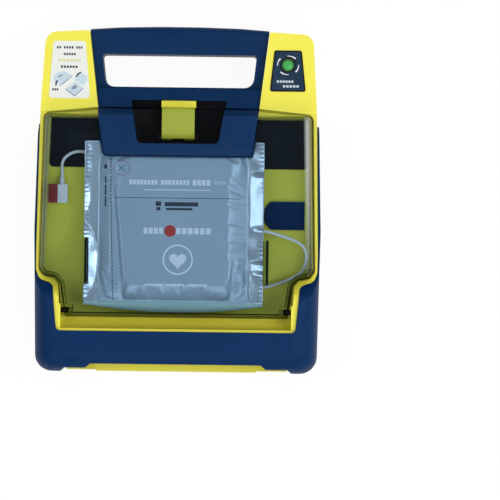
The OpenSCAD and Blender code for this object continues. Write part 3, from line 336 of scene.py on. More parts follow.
# near-black painted shade for the deep finger recess
recessPaintedShade = mouldedPlastic("moulded ABS, black lining", "#04070c", "#020409", 0.6, specular=0.08)
inkDark = printingInk("screen ink, dark blue", "#353a4c", "#2c3142")
inkWhite = printingInk("screen ink, white", "#f4f6fa", "#e6eaf0")
inkRed = printingInk("screen ink, red", "#c83a34", "#b8302c")
inkYellow = printingInk("screen ink, pale yellow", "#dcd8a8", "#d0cc9c")
inkSky = printingInk("screen ink, pale blue", "#c6dae4", "#b4ccd8")
inkPale = printingInk("screen ink, grey white", "#c4d0d8", "#b8c6d0")
inkSteel = printingInk("screen ink, steel blue", "#7888a0", "#6c7c94")
inkMauve = printingInk("screen ink, mauve", "#a88ca4", "#9c8098")
padCable.data.materials.clear()
padCable.data.materials.append(finish["cable_jacket"])
print("materials mixed:", len(finish))


# CAD pieces taken over with their own shapes: merged, edges eased, smoothed and finished
easedEdges = {  # edge radius in mm where it differs from the usual
    "rear_case": 0.8, "front_case": 0.7, "bumper": 1.0, "handle": 0.8, "latch_housing": 0.9, "lid_lens": 0.5,
    "latch_lever": 0.7, "latch_catch": 0.7, "pad_plug": 0.7, "pad_socket": 0.6, "port_cover": 0.6,
    "battery_case": 0.8, "rear_feet": 0.8, "shock_button": 0.5, "control_panel": 0.25, "display_window": 0.25,
    "status_plate": 0.25, "instruction_label": 0.1, "battery_contacts": 0.1, "latch_spring": 0, "main_board": 0.1,
}
easeSet = {"usual": 0.3, "bevelled": 48, "smoothed": 38, "steps": 2, "merge": 0.004, "flat": 0.6}  # mm and degrees
modelledAnew = ["pad_cable", "pouch_front", "pouch_back", "status_rotor", "status_window"]


def camelName(node):
    first, *rest = node.split("_")
    return first + "".join(word.capitalize() for word in rest)


def easeEdges(piece, radius):
    onlySelect(piece)
    if radius:
        bevel = piece.modifiers.new("easedEdges", "BEVEL")
        bevel.limit_method = "ANGLE"
        bevel.angle_limit = math.radians(easeSet["bevelled"])
        bevel.width = radius * mm
        bevel.segments = easeSet["steps"]
        bevel.use_clamp_overlap = True
        bpy.ops.object.modifier_apply(modifier=bevel.name)
    bpy.ops.object.shade_smooth_by_angle(angle=math.radians(easeSet["smoothed"]))
    weighted = piece.modifiers.new("flatFaces", "WEIGHTED_NORMAL")
    weighted.keep_sharp = True
    bpy.ops.object.modifier_apply(modifier=weighted.name)


def takeOver(node):
    piece = bpy.data.objects.new(camelName(node), cadNodes[node].data.copy())
    bpy.context.scene.collection.objects.link(piece)
    onlySelect(piece)
    bpy.ops.object.mode_set(mode="EDIT")
    bpy.ops.mesh.select_all(action="SELECT")
    bpy.ops.mesh.remove_doubles(threshold=easeSet["merge"] * mm)
    bpy.ops.mesh.dissolve_limited(angle_limit=math.radians(easeSet["flat"]))
    bpy.ops.mesh.customdata_custom_splitnormals_clear()
    bpy.ops.object.mode_set(mode="OBJECT")
    easeEdges(piece, easedEdges.get(node, easeSet["usual"]))
    piece.data.materials.clear()
    piece.data.materials.append(finish[slotOf[node]])
    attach(piece, bodyOf[node])
    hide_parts(node)
    return piece


pieces = {node: takeOver(node) for node in cadNodes if node not in modelledAnew}
print("CAD pieces taken over:", len(pieces))


# the finger recess in the latch housing and in the handle plate gets a near-black painted shade for its depth
recessSet = {"root": (50.5, 37.0), "mouth": (91.0, 44.0), "cut": 42.3, "slack": 0.5, "mouthSlack": 2,
             "pieces": [("latch_housing", 57.5, 79.3), ("handle", 45.0, 54.0)]}


def inRecess(place, floorZ, topZ):
    x, y, z = place / mm
    (rootY, rootX), (mouthY, mouthX) = recessSet["root"], recessSet["mouth"]
    slack = recessSet["slack"]
    reach = rootX + (y - rootY) / (mouthY - rootY) * (mouthX - rootX)
    between = rootY - slack < y < mouthY + recessSet["mouthSlack"]
    return abs(x) < reach + slack and between and floorZ - slack < z < topZ + slack


for node, floorZ, topZ in recessSet["pieces"]:
    mesh = pieces[node].data
    onlySelect(pieces[node])
    bpy.ops.object.mode_set(mode="EDIT")
    for side in (-1, 1):  # long faces that run past the recess end at its sides
        bpy.ops.mesh.select_all(action="SELECT")
        bpy.ops.mesh.bisect(plane_co=(side * recessSet["cut"] * mm, 0, 0), plane_no=(1, 0, 0))
    bpy.ops.object.mode_set(mode="OBJECT")
    mesh.materials.append(recessPaintedShade)
    for face in mesh.polygons:
        if all(inRecess(mesh.vertices[i].co, floorZ, topZ) for i in face.vertices):
            face.material_index = 1


# the walls at the lid's hinge end get a dark, nearly opaque painted shade, and the clips' uprights are painted
# near-black as the shade of the slits beside them
clipSet = {"uprightsBeyond": 81.9}
lensMesh = pieces["lid_lens"].data
lensMesh.materials.append(lensEndPaintedShade)
for face in lensMesh.polygons:
    x, y, z = face.center / mm
    if abs(face.normal.z) < lensSet["endSteep"] and z > lensSet["endAbove"] and y < lensSet["endBefore"]:
        face.material_index = 1
# the clips' uprights get near-black painted shade for the slits beside them
clipMesh = pieces["pouch_clips"].data
clipMesh.materials.append(blackSlitShadeAndPrint)
for face in clipMesh.polygons:
    if all(abs(clipMesh.vertices[i].co.x) > clipSet["uprightsBeyond"] * mm for i in face.vertices):
        face.material_index = 1


# flat printed shapes, drawn on a plane and then laid where they belong
def addBar(name, x0, x1, y0, y1, material, corner):
    bpy.ops.object.select_all(action="DESELECT")
    bpy.ops.mesh.primitive_plane_add(size=1, location=((x0 + x1) / 2 * mm, (y0 + y1) / 2 * mm, 0))
    bar = bpy.context.object
    bar.name = name
    bar.scale = ((x1 - x0) * mm, (y1 - y0) * mm, 1)
    bpy.ops.object.transform_apply(location=True, rotation=True, scale=True)
    bpy.ops.object.mode_set(mode="EDIT")
    bpy.ops.mesh.select_all(action="SELECT")
    bpy.ops.mesh.bevel(offset=corner * mm, segments=3, affect="VERTICES")
    bpy.ops.object.mode_set(mode="OBJECT")
    bar.data.materials.append(material)
    return bar


def addShape(name, outline, material):
    mesh = bpy.data.meshes.new(name)
    mesh.from_pydata([(x * mm, y * mm, 0) for x, y in outline], [], [list(range(len(outline)))])
    shape = bpy.data.objects.new(name, mesh)
    bpy.context.scene.collection.objects.link(shape)
    shape.data.materials.append(material)
    return shape


def arcBand(radius, start, end, wide, narrow, steps=14):
    outer = []
    inner = []
    for i in range(steps + 1):
        angle = math.radians(start + (end - start) * i / steps)
        half = (wide + (narrow - wide) * i / steps) / 2
        outer.append(((radius + half) * math.cos(angle), (radius + half) * math.sin(angle)))
        inner.append(((radius - half) * math.cos(angle), (radius - half) * math.sin(angle)))
    return outer + inner[::-1]


def joinPieces(name, parts):
    bpy.ops.object.select_all(action="DESELECT")
    for part in parts:
        part.select_set(True)
    bpy.context.view_layer.objects.active = parts[0]
    bpy.ops.object.join()
    parts[0].name = name
    return parts[0]


def thicken(piece, thickness):
    onlySelect(piece)
    bpy.ops.object.mode_set(mode="EDIT")
    bpy.ops.mesh.select_all(action="SELECT")
    bpy.ops.mesh.extrude_region_move(TRANSFORM_OT_translate={"value": (0, 0, thickness * mm)})
    bpy.ops.mesh.select_all(action="SELECT")
    bpy.ops.mesh.normals_make_consistent(inside=False)
    bpy.ops.object.mode_set(mode="OBJECT")


# both corner blocks fall towards the handle, and the prints lie on them
cornerSet = {"tilt": 8.130, "top": 56.0, "from": 83.0, "fall": 11.0 / 77.0}


def layOnCorner(piece, x, y, above):
    height = cornerSet["top"] - cornerSet["fall"] * (y - cornerSet["from"])
    turn = Matrix.Rotation(math.radians(-cornerSet["tilt"]), 4, "X")
    lift = Matrix.Translation((0, 0, above * mm))
    piece.data.transform(Matrix.Translation(Vector((x, y, height)) * mm) @ turn @ lift)
    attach(piece, "base")


# a run of small blocks that stands for a printed word
wordSet = {"filled": 0.72, "corner": 0.2, "ink": 0.05}


def wordBlocks(x0, x1, y, height, count, material):
    step = (x1 - x0) / count
    return [addBar("wordBlock", x0 + i * step, x0 + (i + wordSet["filled"]) * step, y - height / 2, y + height / 2,
                   material, wordSet["corner"]) for i in range(count)]


# label with generic lines and two little pictures of a lid that opens
labelSet = {
    "words": [(-12.4, -7.8, 22.2, 2), (-5.9, 3.7, 22.2, 4), (5.4, 11.8, 22.2, 3), (-5.9, 5.8, 15.9, 5),
              (-8.3, 7.9, 4.0, 6), (-15.8, -9.8, -17.4, 3)],
    "soft": (-10.6, 10.8, 10.0, 6), "height": 2.2, "softHeight": 2.8, "place": (-101, 117), "proud": 0.42,
    "lid": [(-15.2, -5.8), (-12.0, -2.0), (-5.8, 0.0), (2.4, -4.2), (-5.4, -10.6), (-8.8, -13.6), (-13.8, -10.2)],
    "lidTop": [(-13.2, -5.6), (-6.0, -1.4), (0.4, -4.6), (-6.2, -9.2)],
    "body": [(-3.6, -16.4), (5.2, -9.8), (12.6, -15.6), (4.8, -22.6)],
    "bodyLid": [(5.6, -8.8), (4.8, -5.2), (11.0, -1.4), (16.4, -4.4), (15.4, -10.4), (12.8, -13.6)],
    "bodyInside": [(-1.2, -16.4), (5.2, -11.4), (10.4, -15.6), (4.8, -20.4)],
    "lidSlot": [(-11.0, -5.4), (-7.4, -3.2), (-6.4, -3.8), (-10.0, -6.2)],
    "lidEdge": [(-8.8, -13.6), (-5.4, -10.6), (2.4, -4.2), (2.4, -5.0), (-5.2, -11.6), (-8.8, -14.4)],
    "bodyEdge": [(-3.6, -16.4), (4.8, -22.6), (12.6, -15.6), (12.6, -16.6), (4.8, -23.8), (-3.6, -17.4)],
    "bodyPanel": [(1.6, -15.8), (5.2, -13.0), (7.4, -14.8), (3.8, -17.6)],
    "turn": [(-13.2, -14.2), (-12.0, -14.0), (-11.4, -10.6), (-10.4, -9.2), (-11.8, -8.6), (-13.0, -10.4)],
    "lift": [(5.4, -5.4), (6.6, -5.6), (8.6, -3.0), (11.0, -1.2), (10.0, -0.6), (7.2, -2.2)],
    "layers": [(0.0, ("lid", "body", "bodyLid"), inkSky), (0.02, ("lidTop", "bodyInside"), inkPale),
               (0.04, ("lidSlot", "lidEdge", "bodyEdge", "bodyPanel"), inkSteel), (0.06, ("turn", "lift"), inkDark)],
}
dark = []
for x0, x1, y, count in labelSet["words"]:
    dark += wordBlocks(x0, x1, y, labelSet["height"], count, inkDark)
x0, x1, y, count = labelSet["soft"]
soft = wordBlocks(x0, x1, y, labelSet["softHeight"], count, inkYellow)
pictures = []
for layer, names, ink in labelSet["layers"]:
    for name in names:
        pictures.append(addShape(name, labelSet[name], ink))
        pictures[-1].data.transform(Matrix.Translation((0, 0, layer * mm)))
labelPrint = joinPieces("labelPrint", dark + soft + pictures)
thicken(labelPrint, wordSet["ink"])
layOnCorner(labelPrint, *labelSet["place"], labelSet["proud"])
print("label printed")


# status indicator: a faceted green rotor behind a clear window, and on the plate a black border, white marks and two
# generic lines
statusSet = {
    "place": (100.2, 125.4), "plate": (100.2, 119.5), "radius": 5.6, "depth": 3.0, "rotorShape": (0.98, 0.98, 0.5),
    "lip": 0.9, "wall": 0.7, "domeSteps": ((1.4, 0.25), (1.8, 0.12)), "sunk": 0.1, "rounds": 48, "proud": 0.82,
    "marks": (70, 160, 250, 340), "markRadius": 10.2, "markWide": (0.5, 1.3), "spread": 24, "squash": (0.96, 0.86),
    "lower": 0.6, "over": 0.02, "bezel": (6.9, 0.8), "border": 1.1, "borderFrom": 9.0, "faceUp": 0.97,
    "lines": [(-10.2, 5.8, -10.0, 6), (-4.6, 11.0, -14.4, 5)], "lineHeight": 2.2,
}
bpy.ops.object.select_all(action="DESELECT")
bpy.ops.mesh.primitive_ico_sphere_add(subdivisions=2, radius=statusSet["radius"] * mm)
rotor = bpy.context.object
rotor.name = "statusRotor"
bpy.ops.object.mode_set(mode="EDIT")
bpy.ops.mesh.select_all(action="SELECT")
bpy.ops.mesh.bisect(plane_co=(0, 0, 0), plane_no=(0, 0, 1), clear_inner=True, use_fill=True)
bpy.ops.mesh.select_all(action="SELECT")
bpy.ops.transform.resize(value=statusSet["rotorShape"], center_override=(0, 0, 0))
bpy.ops.mesh.normals_make_consistent(inside=False)
bpy.ops.object.mode_set(mode="OBJECT")
rotor.data.materials.append(finish["status_green"])
layOnCorner(rotor, *statusSet["place"], -statusSet["depth"])
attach(rotor, "status_rotor")
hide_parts("status_rotor")

bpy.ops.object.select_all(action="DESELECT")
bpy.ops.mesh.primitive_circle_add(vertices=statusSet["rounds"], fill_type="NGON",
                                  radius=(statusSet["radius"] + statusSet["lip"]) * mm)
window = bpy.context.object
window.name = "statusWindow"
bpy.ops.object.mode_set(mode="EDIT")
bpy.ops.mesh.select_all(action="SELECT")
bpy.ops.mesh.extrude_region_move(TRANSFORM_OT_translate={"value": (0, 0, statusSet["wall"] * mm)})
for inward, upward in statusSet["domeSteps"]:
    bpy.ops.mesh.inset(thickness=inward * mm, depth=upward * mm)
bpy.ops.mesh.select_all(action="SELECT")
bpy.ops.mesh.normals_make_consistent(inside=False)
bpy.ops.object.mode_set(mode="OBJECT")
bpy.ops.object.shade_smooth_by_angle(angle=math.radians(30))
window.data.materials.append(finish["clear_window"])
layOnCorner(window, *statusSet["place"], -statusSet["sunk"])
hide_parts("status_window")

plateMesh = pieces["status_plate"].data
plateMesh.materials[0] = plateFilm
plateMesh.materials.append(blackSlitShadeAndPrint)
onlySelect(pieces["status_plate"])
bpy.ops.object.mode_set(mode="EDIT")
bpy.ops.mesh.select_all(action="DESELECT")
bpy.ops.object.mode_set(mode="OBJECT")
for face in plateMesh.polygons:
    face.select = face.normal.z > statusSet["faceUp"]
bpy.ops.object.mode_set(mode="EDIT")
bpy.ops.mesh.inset(thickness=statusSet["border"] * mm)
bpy.ops.object.mode_set(mode="OBJECT")
for face in plateMesh.polygons:
    fromWindow = (face.center.xy / mm - Vector(statusSet["place"])).length
    face.material_index = 1 if not face.select and fromWindow > statusSet["borderFrom"] else 0

marks = []
for turn in statusSet["marks"]:
    band = arcBand(statusSet["markRadius"], turn + statusSet["spread"], turn - statusSet["spread"],
                   *statusSet["markWide"])
    marks.append(addShape("statusMark", band, inkWhite))
    marks[-1].data.transform(Matrix.Translation((0, -statusSet["lower"] * mm, statusSet["over"] * mm))
                             @ Matrix.Diagonal((*statusSet["squash"], 1, 1)))
bezelRadius, bezelWide = statusSet["bezel"]
bezelBand = arcBand(bezelRadius, 0, 360, bezelWide, bezelWide, statusSet["rounds"])
marks.append(addShape("statusBezel", bezelBand, blackSlitShadeAndPrint))
for part in marks:
    part.data.transform(Matrix.Translation((0, (statusSet["place"][1] - statusSet["plate"][1]) * mm, 0)))
lines = []
for x0, x1, y, count in statusSet["lines"]:
    lines += wordBlocks(x0, x1, y, statusSet["lineHeight"], count, inkPale)
statusPrint = joinPieces("statusPrint", marks + lines)
thicken(statusPrint, wordSet["ink"])
layOnCorner(statusPrint, *statusSet["plate"], statusSet["proud"])
print("status indicator built")


# foil pouch: a film sealed along its sides, blown up over the pads by a cloth simulation
pouchSet = {
    "left": -85.5, "right": 79.5, "bottom": -97.8, "top": 52.8, "grid": (120, 110), "backGrid": (60, 56),
    "sealLeft": -71.0, "sealRight": 64.0, "sealBottom": -92.5, "sealTop": 44,
    "sealZ": 63.9, "padZ": 69.2, "topZ": 72.4, "under": 0.2,
    "pad": ((-57, 57), (-46, 46), 30, -90), "padSlope": 3.5, "padFoot": (-2.5, 1),
    "pillow": 2.6, "pillowFrom": (-60, 57, -84), "notch": (67.9, 74.4, 39.2, 82.4), "slits": (81.4, -78.6, -36.4),
    "simScale": 20.0, "frames": 24, "cap": 3.0, "frontHem": -94.8, "thickness": 0.25,
    "cloth": {"quality": 6, "mass": 0.2, "tension_stiffness": 30, "compression_stiffness": 30,
              "bending_stiffness": 1.5, "shrink_min": -0.012, "use_pressure": True, "uniform_pressure_force": 0.9,
              "vertex_group_mass": "held"},
    "backZ": 63.2, "backRipple": 0.35, "flap": 6.3, "flapFrom": -90, "flapHalf": 82, "hemAbove": -93, "foilUp": 0.5,
}
# the sealed strips: how they curl, where the left one lifts in leaves, and the creases that run out to the corners
stripSet = {
    "rise": 0.3, "rightFrom": 66.5, "rightFlat": 0.1, "rightLow": (-30, -24), "rightHigh": (27, 20),
    "tuckFrom": 66, "tuckShare": 0.9, "tuckLow": (-70, -65), "tuckHigh": (-55, -60),
    "leftFrom": -85.8, "leaves": [(-92, 69.5, 13.6), (-16, 32, 6.5)],
    "crests": [{"x": 64.6, "lean": 6.4 / 35, "y": -60, "wide": 1.1, "high": 0.55, "ends": (-57, -63)},
               {"x": -72.6, "lean": 3.6 / 14, "y": -81, "wide": 1.0, "high": 0.5, "ends": (-79, -83)}],
    "dip": 0.9, "dipLeft": (-82, -77), "dipRight": (-71, -75), "dipLow": (-30, -14),
    "edges": ((64, 68), (-71, -75)), "fold": 0.7,
    "crimp": 0.22, "crimpLength": 0.62, "crimpAt": ((74, 79), (-79, -84)),
}


def easeStep(a, b, x):
    t = max(0, min(1, (x - a) / (b - a)))
    return t * t * (3 - 2 * t)


def padHeight(x, y):
    topPair, bottomPair, topY, bottomY = pouchSet["pad"]
    share = (y - bottomY) / (topY - bottomY)
    leftX = bottomPair[0] + (topPair[0] - bottomPair[0]) * share
    rightX = bottomPair[1] + (topPair[1] - bottomPair[1]) * share
    slope = pouchSet["padSlope"]
    footLow, footHigh = pouchSet["padFoot"]
    over = min(easeStep(leftX - slope, leftX, x), easeStep(rightX + slope, rightX, x),
               easeStep(bottomY + footLow, bottomY + footHigh, y))
    fullLeft, fullRight, fullBottom = pouchSet["pillowFrom"]
    pillow = min(easeStep(pouchSet["sealLeft"], fullLeft, x), easeStep(pouchSet["sealRight"], fullRight, x),
                 easeStep(pouchSet["sealBottom"], fullBottom, y))
    high = pouchSet["pillow"]
    return pouchSet["sealZ"] + high * pillow + (pouchSet["padZ"] - pouchSet["sealZ"] - high) * over


# the sealed strips along the sides curl up in long smooth folds, crimped along their outer edges
def stripLift(x, y):
    s = stripSet
    curl = s["rightFlat"] + (1 - s["rightFlat"]) * min(easeStep(*s["rightLow"], y), easeStep(*s["rightHigh"], y))
    lift = max(0, x - s["rightFrom"]) * s["rise"] * curl
    tuck = s["tuckShare"] * easeStep(*s["tuckLow"], y) * easeStep(*s["tuckHigh"], y)
    lift += max(0, x - s["tuckFrom"]) * s["rise"] * tuck
    for lowY, tall, reach in s["leaves"]:
        bow = max(0, math.sin(math.pi * (y - lowY) / tall)) if lowY < y < lowY + tall else 0
        lift += max(0, s["leftFrom"] + reach * math.sqrt(bow) - x) * s["rise"]
    for crest in s["crests"]:
        off = (x - crest["x"] - crest["lean"] * (crest["y"] - y)) / crest["wide"]
        lift += crest["high"] * math.exp(-off ** 2) * easeStep(*crest["ends"], y)
    lift -= s["dip"] * easeStep(*s["dipRight"], x) * easeStep(*s["dipLeft"], x) * easeStep(*s["dipLow"], y)
    edge = max(easeStep(*span, x) for span in s["edges"])
    crimp = s["crimp"] * math.sin(y / s["crimpLength"]) * max(easeStep(*span, x) for span in s["crimpAt"])
    fold = s["fold"] * noise.noise(Vector((x / 12 + y / 30, y / 17 - x / 40, 0.3)))
    return lift + (fold + crimp) * edge


# takes out the notch round the latch housing, the slits for the clips and what hangs below the hem
def cutFilm(piece, hemY=-math.inf):
    widthLow, widthHigh, lowY, highY = pouchSet["notch"]
    slitX, slitLow, slitHigh = pouchSet["slits"]
    for face in piece.data.polygons:
        x, y, z = face.center / mm
        wide = widthLow + (widthHigh - widthLow) * (y - lowY) / (highY - lowY)
        slit = abs(x) > slitX and slitLow < y < slitHigh
        face.select = (abs(x) < wide and y > lowY) or slit or y < hemY
    bpy.ops.object.mode_set(mode="EDIT")
    bpy.ops.mesh.delete(type="FACE")
    bpy.ops.object.mode_set(mode="OBJECT")


def addFilm(name, columns, rows):
    bpy.ops.object.select_all(action="DESELECT")
    bpy.ops.mesh.primitive_grid_add(x_subdivisions=columns, y_subdivisions=rows, size=2)
    piece = bpy.context.object
    piece.name = name
    bpy.ops.object.mode_set(mode="EDIT")
    bpy.ops.mesh.select_all(action="DESELECT")
    bpy.ops.object.mode_set(mode="OBJECT")
    for vertex in piece.data.vertices:
        x = (pouchSet["left"] + pouchSet["right"]) / 2 + vertex.co.x * (pouchSet["right"] - pouchSet["left"]) / 2
        y = (pouchSet["bottom"] + pouchSet["top"]) / 2 + vertex.co.y * (pouchSet["top"] - pouchSet["bottom"]) / 2
        vertex.co = Vector((x, y, 0)) * mm
    return piece


def addThickness(piece, name, thickness, offset):
    wall = piece.modifiers.new(name, "SOLIDIFY")
    wall.thickness = thickness * mm
    wall.offset = offset
    bpy.ops.object.modifier_apply(modifier=wall.name)


pouchFront = addFilm("pouchFront", *pouchSet["grid"])
held = pouchFront.vertex_groups.new(name="held")
for vertex in pouchFront.data.vertices:
    x, y, z = vertex.co / mm
    vertex.co.z = padHeight(x, y) * mm
    inside = pouchSet["sealLeft"] <= x <= pouchSet["sealRight"] and pouchSet["sealBottom"] <= y <= pouchSet["sealTop"]
    if not inside:
        held.add([vertex.index], 1.0, "REPLACE")
flatFilm = [vertex.co.copy() for vertex in pouchFront.data.vertices]
pouchFront.data.transform(Matrix.Scale(pouchSet["simScale"], 4))
onlySelect(pouchFront)
cloth = pouchFront.modifiers.new("film", "CLOTH")
for key, value in pouchSet["cloth"].items():
    setattr(cloth.settings, key, value)
cloth.settings.effector_weights.gravity = 0
cloth.point_cache.frame_start = 1
cloth.point_cache.frame_end = pouchSet["frames"]
for step in range(1, pouchSet["frames"] + 1):
    bpy.context.scene.frame_set(step)
bpy.ops.object.modifier_apply(modifier=cloth.name)
bpy.context.scene.frame_set(1)
pouchFront.data.transform(Matrix.Scale(1 / pouchSet["simScale"], 4))
for vertex, rest in zip(pouchFront.data.vertices, flatFilm):
    move = vertex.co - rest
    if move.length > pouchSet["cap"] * mm:
        vertex.co = rest + move * (pouchSet["cap"] * mm / move.length)
for vertex in pouchFront.data.vertices:  # everything stays under the lid and above the back film
    x, y, z = vertex.co / mm
    vertex.co.z = min(max(z + stripLift(x, y), pouchSet["sealZ"] - pouchSet["under"]), pouchSet["topZ"]) * mm
onlySelect(pouchFront)
cutFilm(pouchFront, pouchSet["frontHem"])
addThickness(pouchFront, "filmThickness", pouchSet["thickness"], -1)
softer = pouchFront.modifiers.new("softer", "SUBSURF")
softer.levels = 1
softer.render_levels = 1
bpy.ops.object.modifier_apply(modifier=softer.name)
bpy.ops.object.shade_smooth()
pouchFront.data.materials.append(finish["pouch_foil"])
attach(pouchFront, "lid")
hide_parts("pouch_front")
print("pouch blown up")


# back film of the pouch: foil towards the front film, white outside, its lower hem hanging out below
pouchBack = addFilm("pouchBack", *pouchSet["backGrid"])
for vertex in pouchBack.data.vertices:
    x, y, z = vertex.co / mm
    bow = 1 - (x / pouchSet["flapHalf"]) ** 2
    hem = pouchSet["flap"] * easeStep(pouchSet["flapFrom"], pouchSet["bottom"], y) * bow
    ripple = noise.noise(Vector((x / 30, y / 26, 2.0))) * pouchSet["backRipple"]
    vertex.co = Vector((x, y - max(hem, 0), pouchSet["backZ"] + ripple)) * mm
onlySelect(pouchBack)
cutFilm(pouchBack)
addThickness(pouchBack, "filmThickness", pouchSet["thickness"], 0)
bpy.ops.object.shade_smooth()
pouchBack.data.materials.append(finish["pouch_white"])
pouchBack.data.materials.append(finish["pouch_foil"])
pouchBack.data.materials.append(hemFilm)
for face in pouchBack.data.polygons:
    inner = 2 if face.center.y < pouchSet["hemAbove"] * mm else 1
    face.material_index = inner if face.normal.z > pouchSet["foilUp"] else 0
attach(pouchBack, "lid")
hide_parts("pouch_back")


# generic printing on the front film, laid on its folds: letter blocks, plain bars, a dot, a heart in a ring, two
# crossed blades in a ring and a dotted tear line
filmPrintSet = {
    "white": [(-44, -17.4, 12.8, 17.2, 8), (-15, 12, 12.8, 17.2, 8), (14, 31, 12.4, 17.8, 4), (-30, 31, 7.6, 8.8, 26),
              (-30.4, -11.6, -32.2, -26.6, 4), (-0.8, 32.4, -32.2, -26.6, 6), (-28.8, -12, -79.8, -77.8, 7),
              (-9.6, 8, -79.8, -77.8, 7), (10.4, 28.8, -79.8, -77.8, 8)],
    "pale": [(33.4, 44.6, 13.6, 17)],
    "dark": [(-19.6, -14.6, -6.6, -2.4), (-19, -15.2, -10.6, -7.6), (-11.4, 19.4, -6.8, -3), (-10, 14, -10.4, -8.2),
             (-57.4, 58, 0.5, 1.0), (-67.4, -64.6, 27, 31), (-66.6, -65.2, 14, 20), (-66.6, -65.2, 3, 12.4),
             (-66.6, -65.2, -7.6, 1.4)],
    "dot": (-6.2, -29.4, 5.4), "ring": (1.2, -55.6, 13.2, 1.5), "heart": (1.2, -57.0, 8.4),
    "seal": (-51, 27.8, 6.8, 0.9), "blades": [[(-54.6, 25.6), (-54.0, 24.8), (-47.6, 30.0), (-48.2, 30.8)],
                                              [(-53.6, 31.0), (-54.2, 30.2), (-48.6, 24.6), (-47.8, 25.4)]],
    "tear": [(-61.6, 37.5), (-58.2, -93.8)], "tearDots": 40, "tearDot": (0.5, 0.9),
    "letter": 0.76, "cell": 2, "rim": 0.9, "start": 90, "gap": 0.1, "ink": 0.05,
}


def filmBar(x0, x1, y0, y1, material):
    columns, rows = (max(2, round(span / filmPrintSet["cell"])) for span in (x1 - x0, y1 - y0))
    bpy.ops.object.select_all(action="DESELECT")
    bpy.ops.mesh.primitive_grid_add(x_subdivisions=columns, y_subdivisions=rows, size=1,
                                    location=((x0 + x1) / 2 * mm, (y0 + y1) / 2 * mm, 0))
    bar = bpy.context.object
    bar.name = "filmBar"
    bar.scale = ((x1 - x0) * mm, (y1 - y0) * mm, 1)
    bpy.ops.object.transform_apply(location=True, rotation=True, scale=True)
    bar.data.materials.append(material)
    return bar


def filmDisc(name, x, y, outline, material):
    disc = addShape(name, [(x + px, y + py) for px, py in outline], material)
    onlySelect(disc)
    bpy.ops.object.mode_set(mode="EDIT")
    bpy.ops.mesh.select_all(action="SELECT")
    bpy.ops.mesh.inset(thickness=filmPrintSet["rim"] * mm)
    bpy.ops.mesh.poke()
    bpy.ops.object.mode_set(mode="OBJECT")
    return disc


def filmRing(name, x, y, radius, wide, material):
    bpy.ops.object.select_all(action="DESELECT")
    outer, inner = radius + wide / 2, radius - wide / 2
    bpy.ops.mesh.primitive_circle_add(vertices=56, radius=outer * mm, location=(x * mm, y * mm, 0))
    ring = bpy.context.object
    ring.name = name
    bpy.ops.object.transform_apply(location=True, rotation=True, scale=True)
    bpy.ops.object.mode_set(mode="EDIT")
    bpy.ops.mesh.select_all(action="SELECT")
    bpy.ops.mesh.extrude_edges_move()
    bpy.ops.transform.resize(value=(inner / outer,) * 3, center_override=(x * mm, y * mm, 0))
    bpy.ops.object.mode_set(mode="OBJECT")
    ring.data.materials.append(material)
    return ring


def filmBlade(outline, material):
    blade = addShape("blade", outline, material)
    onlySelect(blade)
    bpy.ops.object.mode_set(mode="EDIT")
    bpy.ops.mesh.select_all(action="SELECT")
    bpy.ops.mesh.subdivide(number_cuts=4)
    bpy.ops.object.mode_set(mode="OBJECT")
    return blade


circle = [(math.cos(math.tau * i / 32), math.sin(math.tau * i / 32)) for i in range(32)]
heart = [(0.0588 * 16 * math.sin(t) ** 3, 0.0588 * (13 * math.cos(t) - 5 * math.cos(2 * t) - 2 * math.cos(3 * t)
          - math.cos(4 * t)) + 0.1) for t in [-math.tau * i / 40 for i in range(40)]]
inks = [filmBar(*bar, ink) for key, ink in (("pale", inkPale), ("dark", inkDark)) for bar in filmPrintSet[key]]
for x0, x1, y0, y1, count in filmPrintSet["white"]:
    step = (x1 - x0) / count
    inks += [filmBar(x0 + i * step, x0 + (i + filmPrintSet["letter"]) * step, y0, y1, inkWhite) for i in range(count)]
(x0, y0), (x1, y1) = filmPrintSet["tear"]
halfWide, halfTall = filmPrintSet["tearDot"]
for i in range(filmPrintSet["tearDots"]):
    share = (i + 0.5) / filmPrintSet["tearDots"]
    x, y = x0 + (x1 - x0) * share, y0 + (y1 - y0) * share
    inks.append(filmBar(x - halfWide, x + halfWide, y - halfTall, y + halfTall, inkDark))
x, y, r = filmPrintSet["dot"]
inks.append(filmDisc("redDot", x, y, [(r * px, r * py) for px, py in circle], inkRed))
x, y, r = filmPrintSet["heart"]
inks.append(filmDisc("heart", x, y, [(r * px, r * py) for px, py in heart], inkWhite))
inks.append(filmRing("ring", *filmPrintSet["ring"], inkWhite))
inks.append(filmRing("sealRing", *filmPrintSet["seal"], inkMauve))
inks += [filmBlade(outline, inkSteel) for outline in filmPrintSet["blades"]]
filmPrint = joinPieces("filmPrint", inks)
onlySelect(filmPrint)
for vertex in filmPrint.data.vertices:
    vertex.co.z = filmPrintSet["start"] * mm
onFilm = filmPrint.modifiers.new("onFilm", "SHRINKWRAP")
onFilm.wrap_method = "PROJECT"
onFilm.use_project_z = True
onFilm.use_negative_direction = True
onFilm.use_positive_direction = False
onFilm.target = pouchFront
onFilm.offset = filmPrintSet["gap"] * mm
bpy.ops.object.modifier_apply(modifier=onFilm.name)
addThickness(filmPrint, "inkThickness", filmPrintSet["ink"], -1)
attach(filmPrint, "lid")
print("film printed")


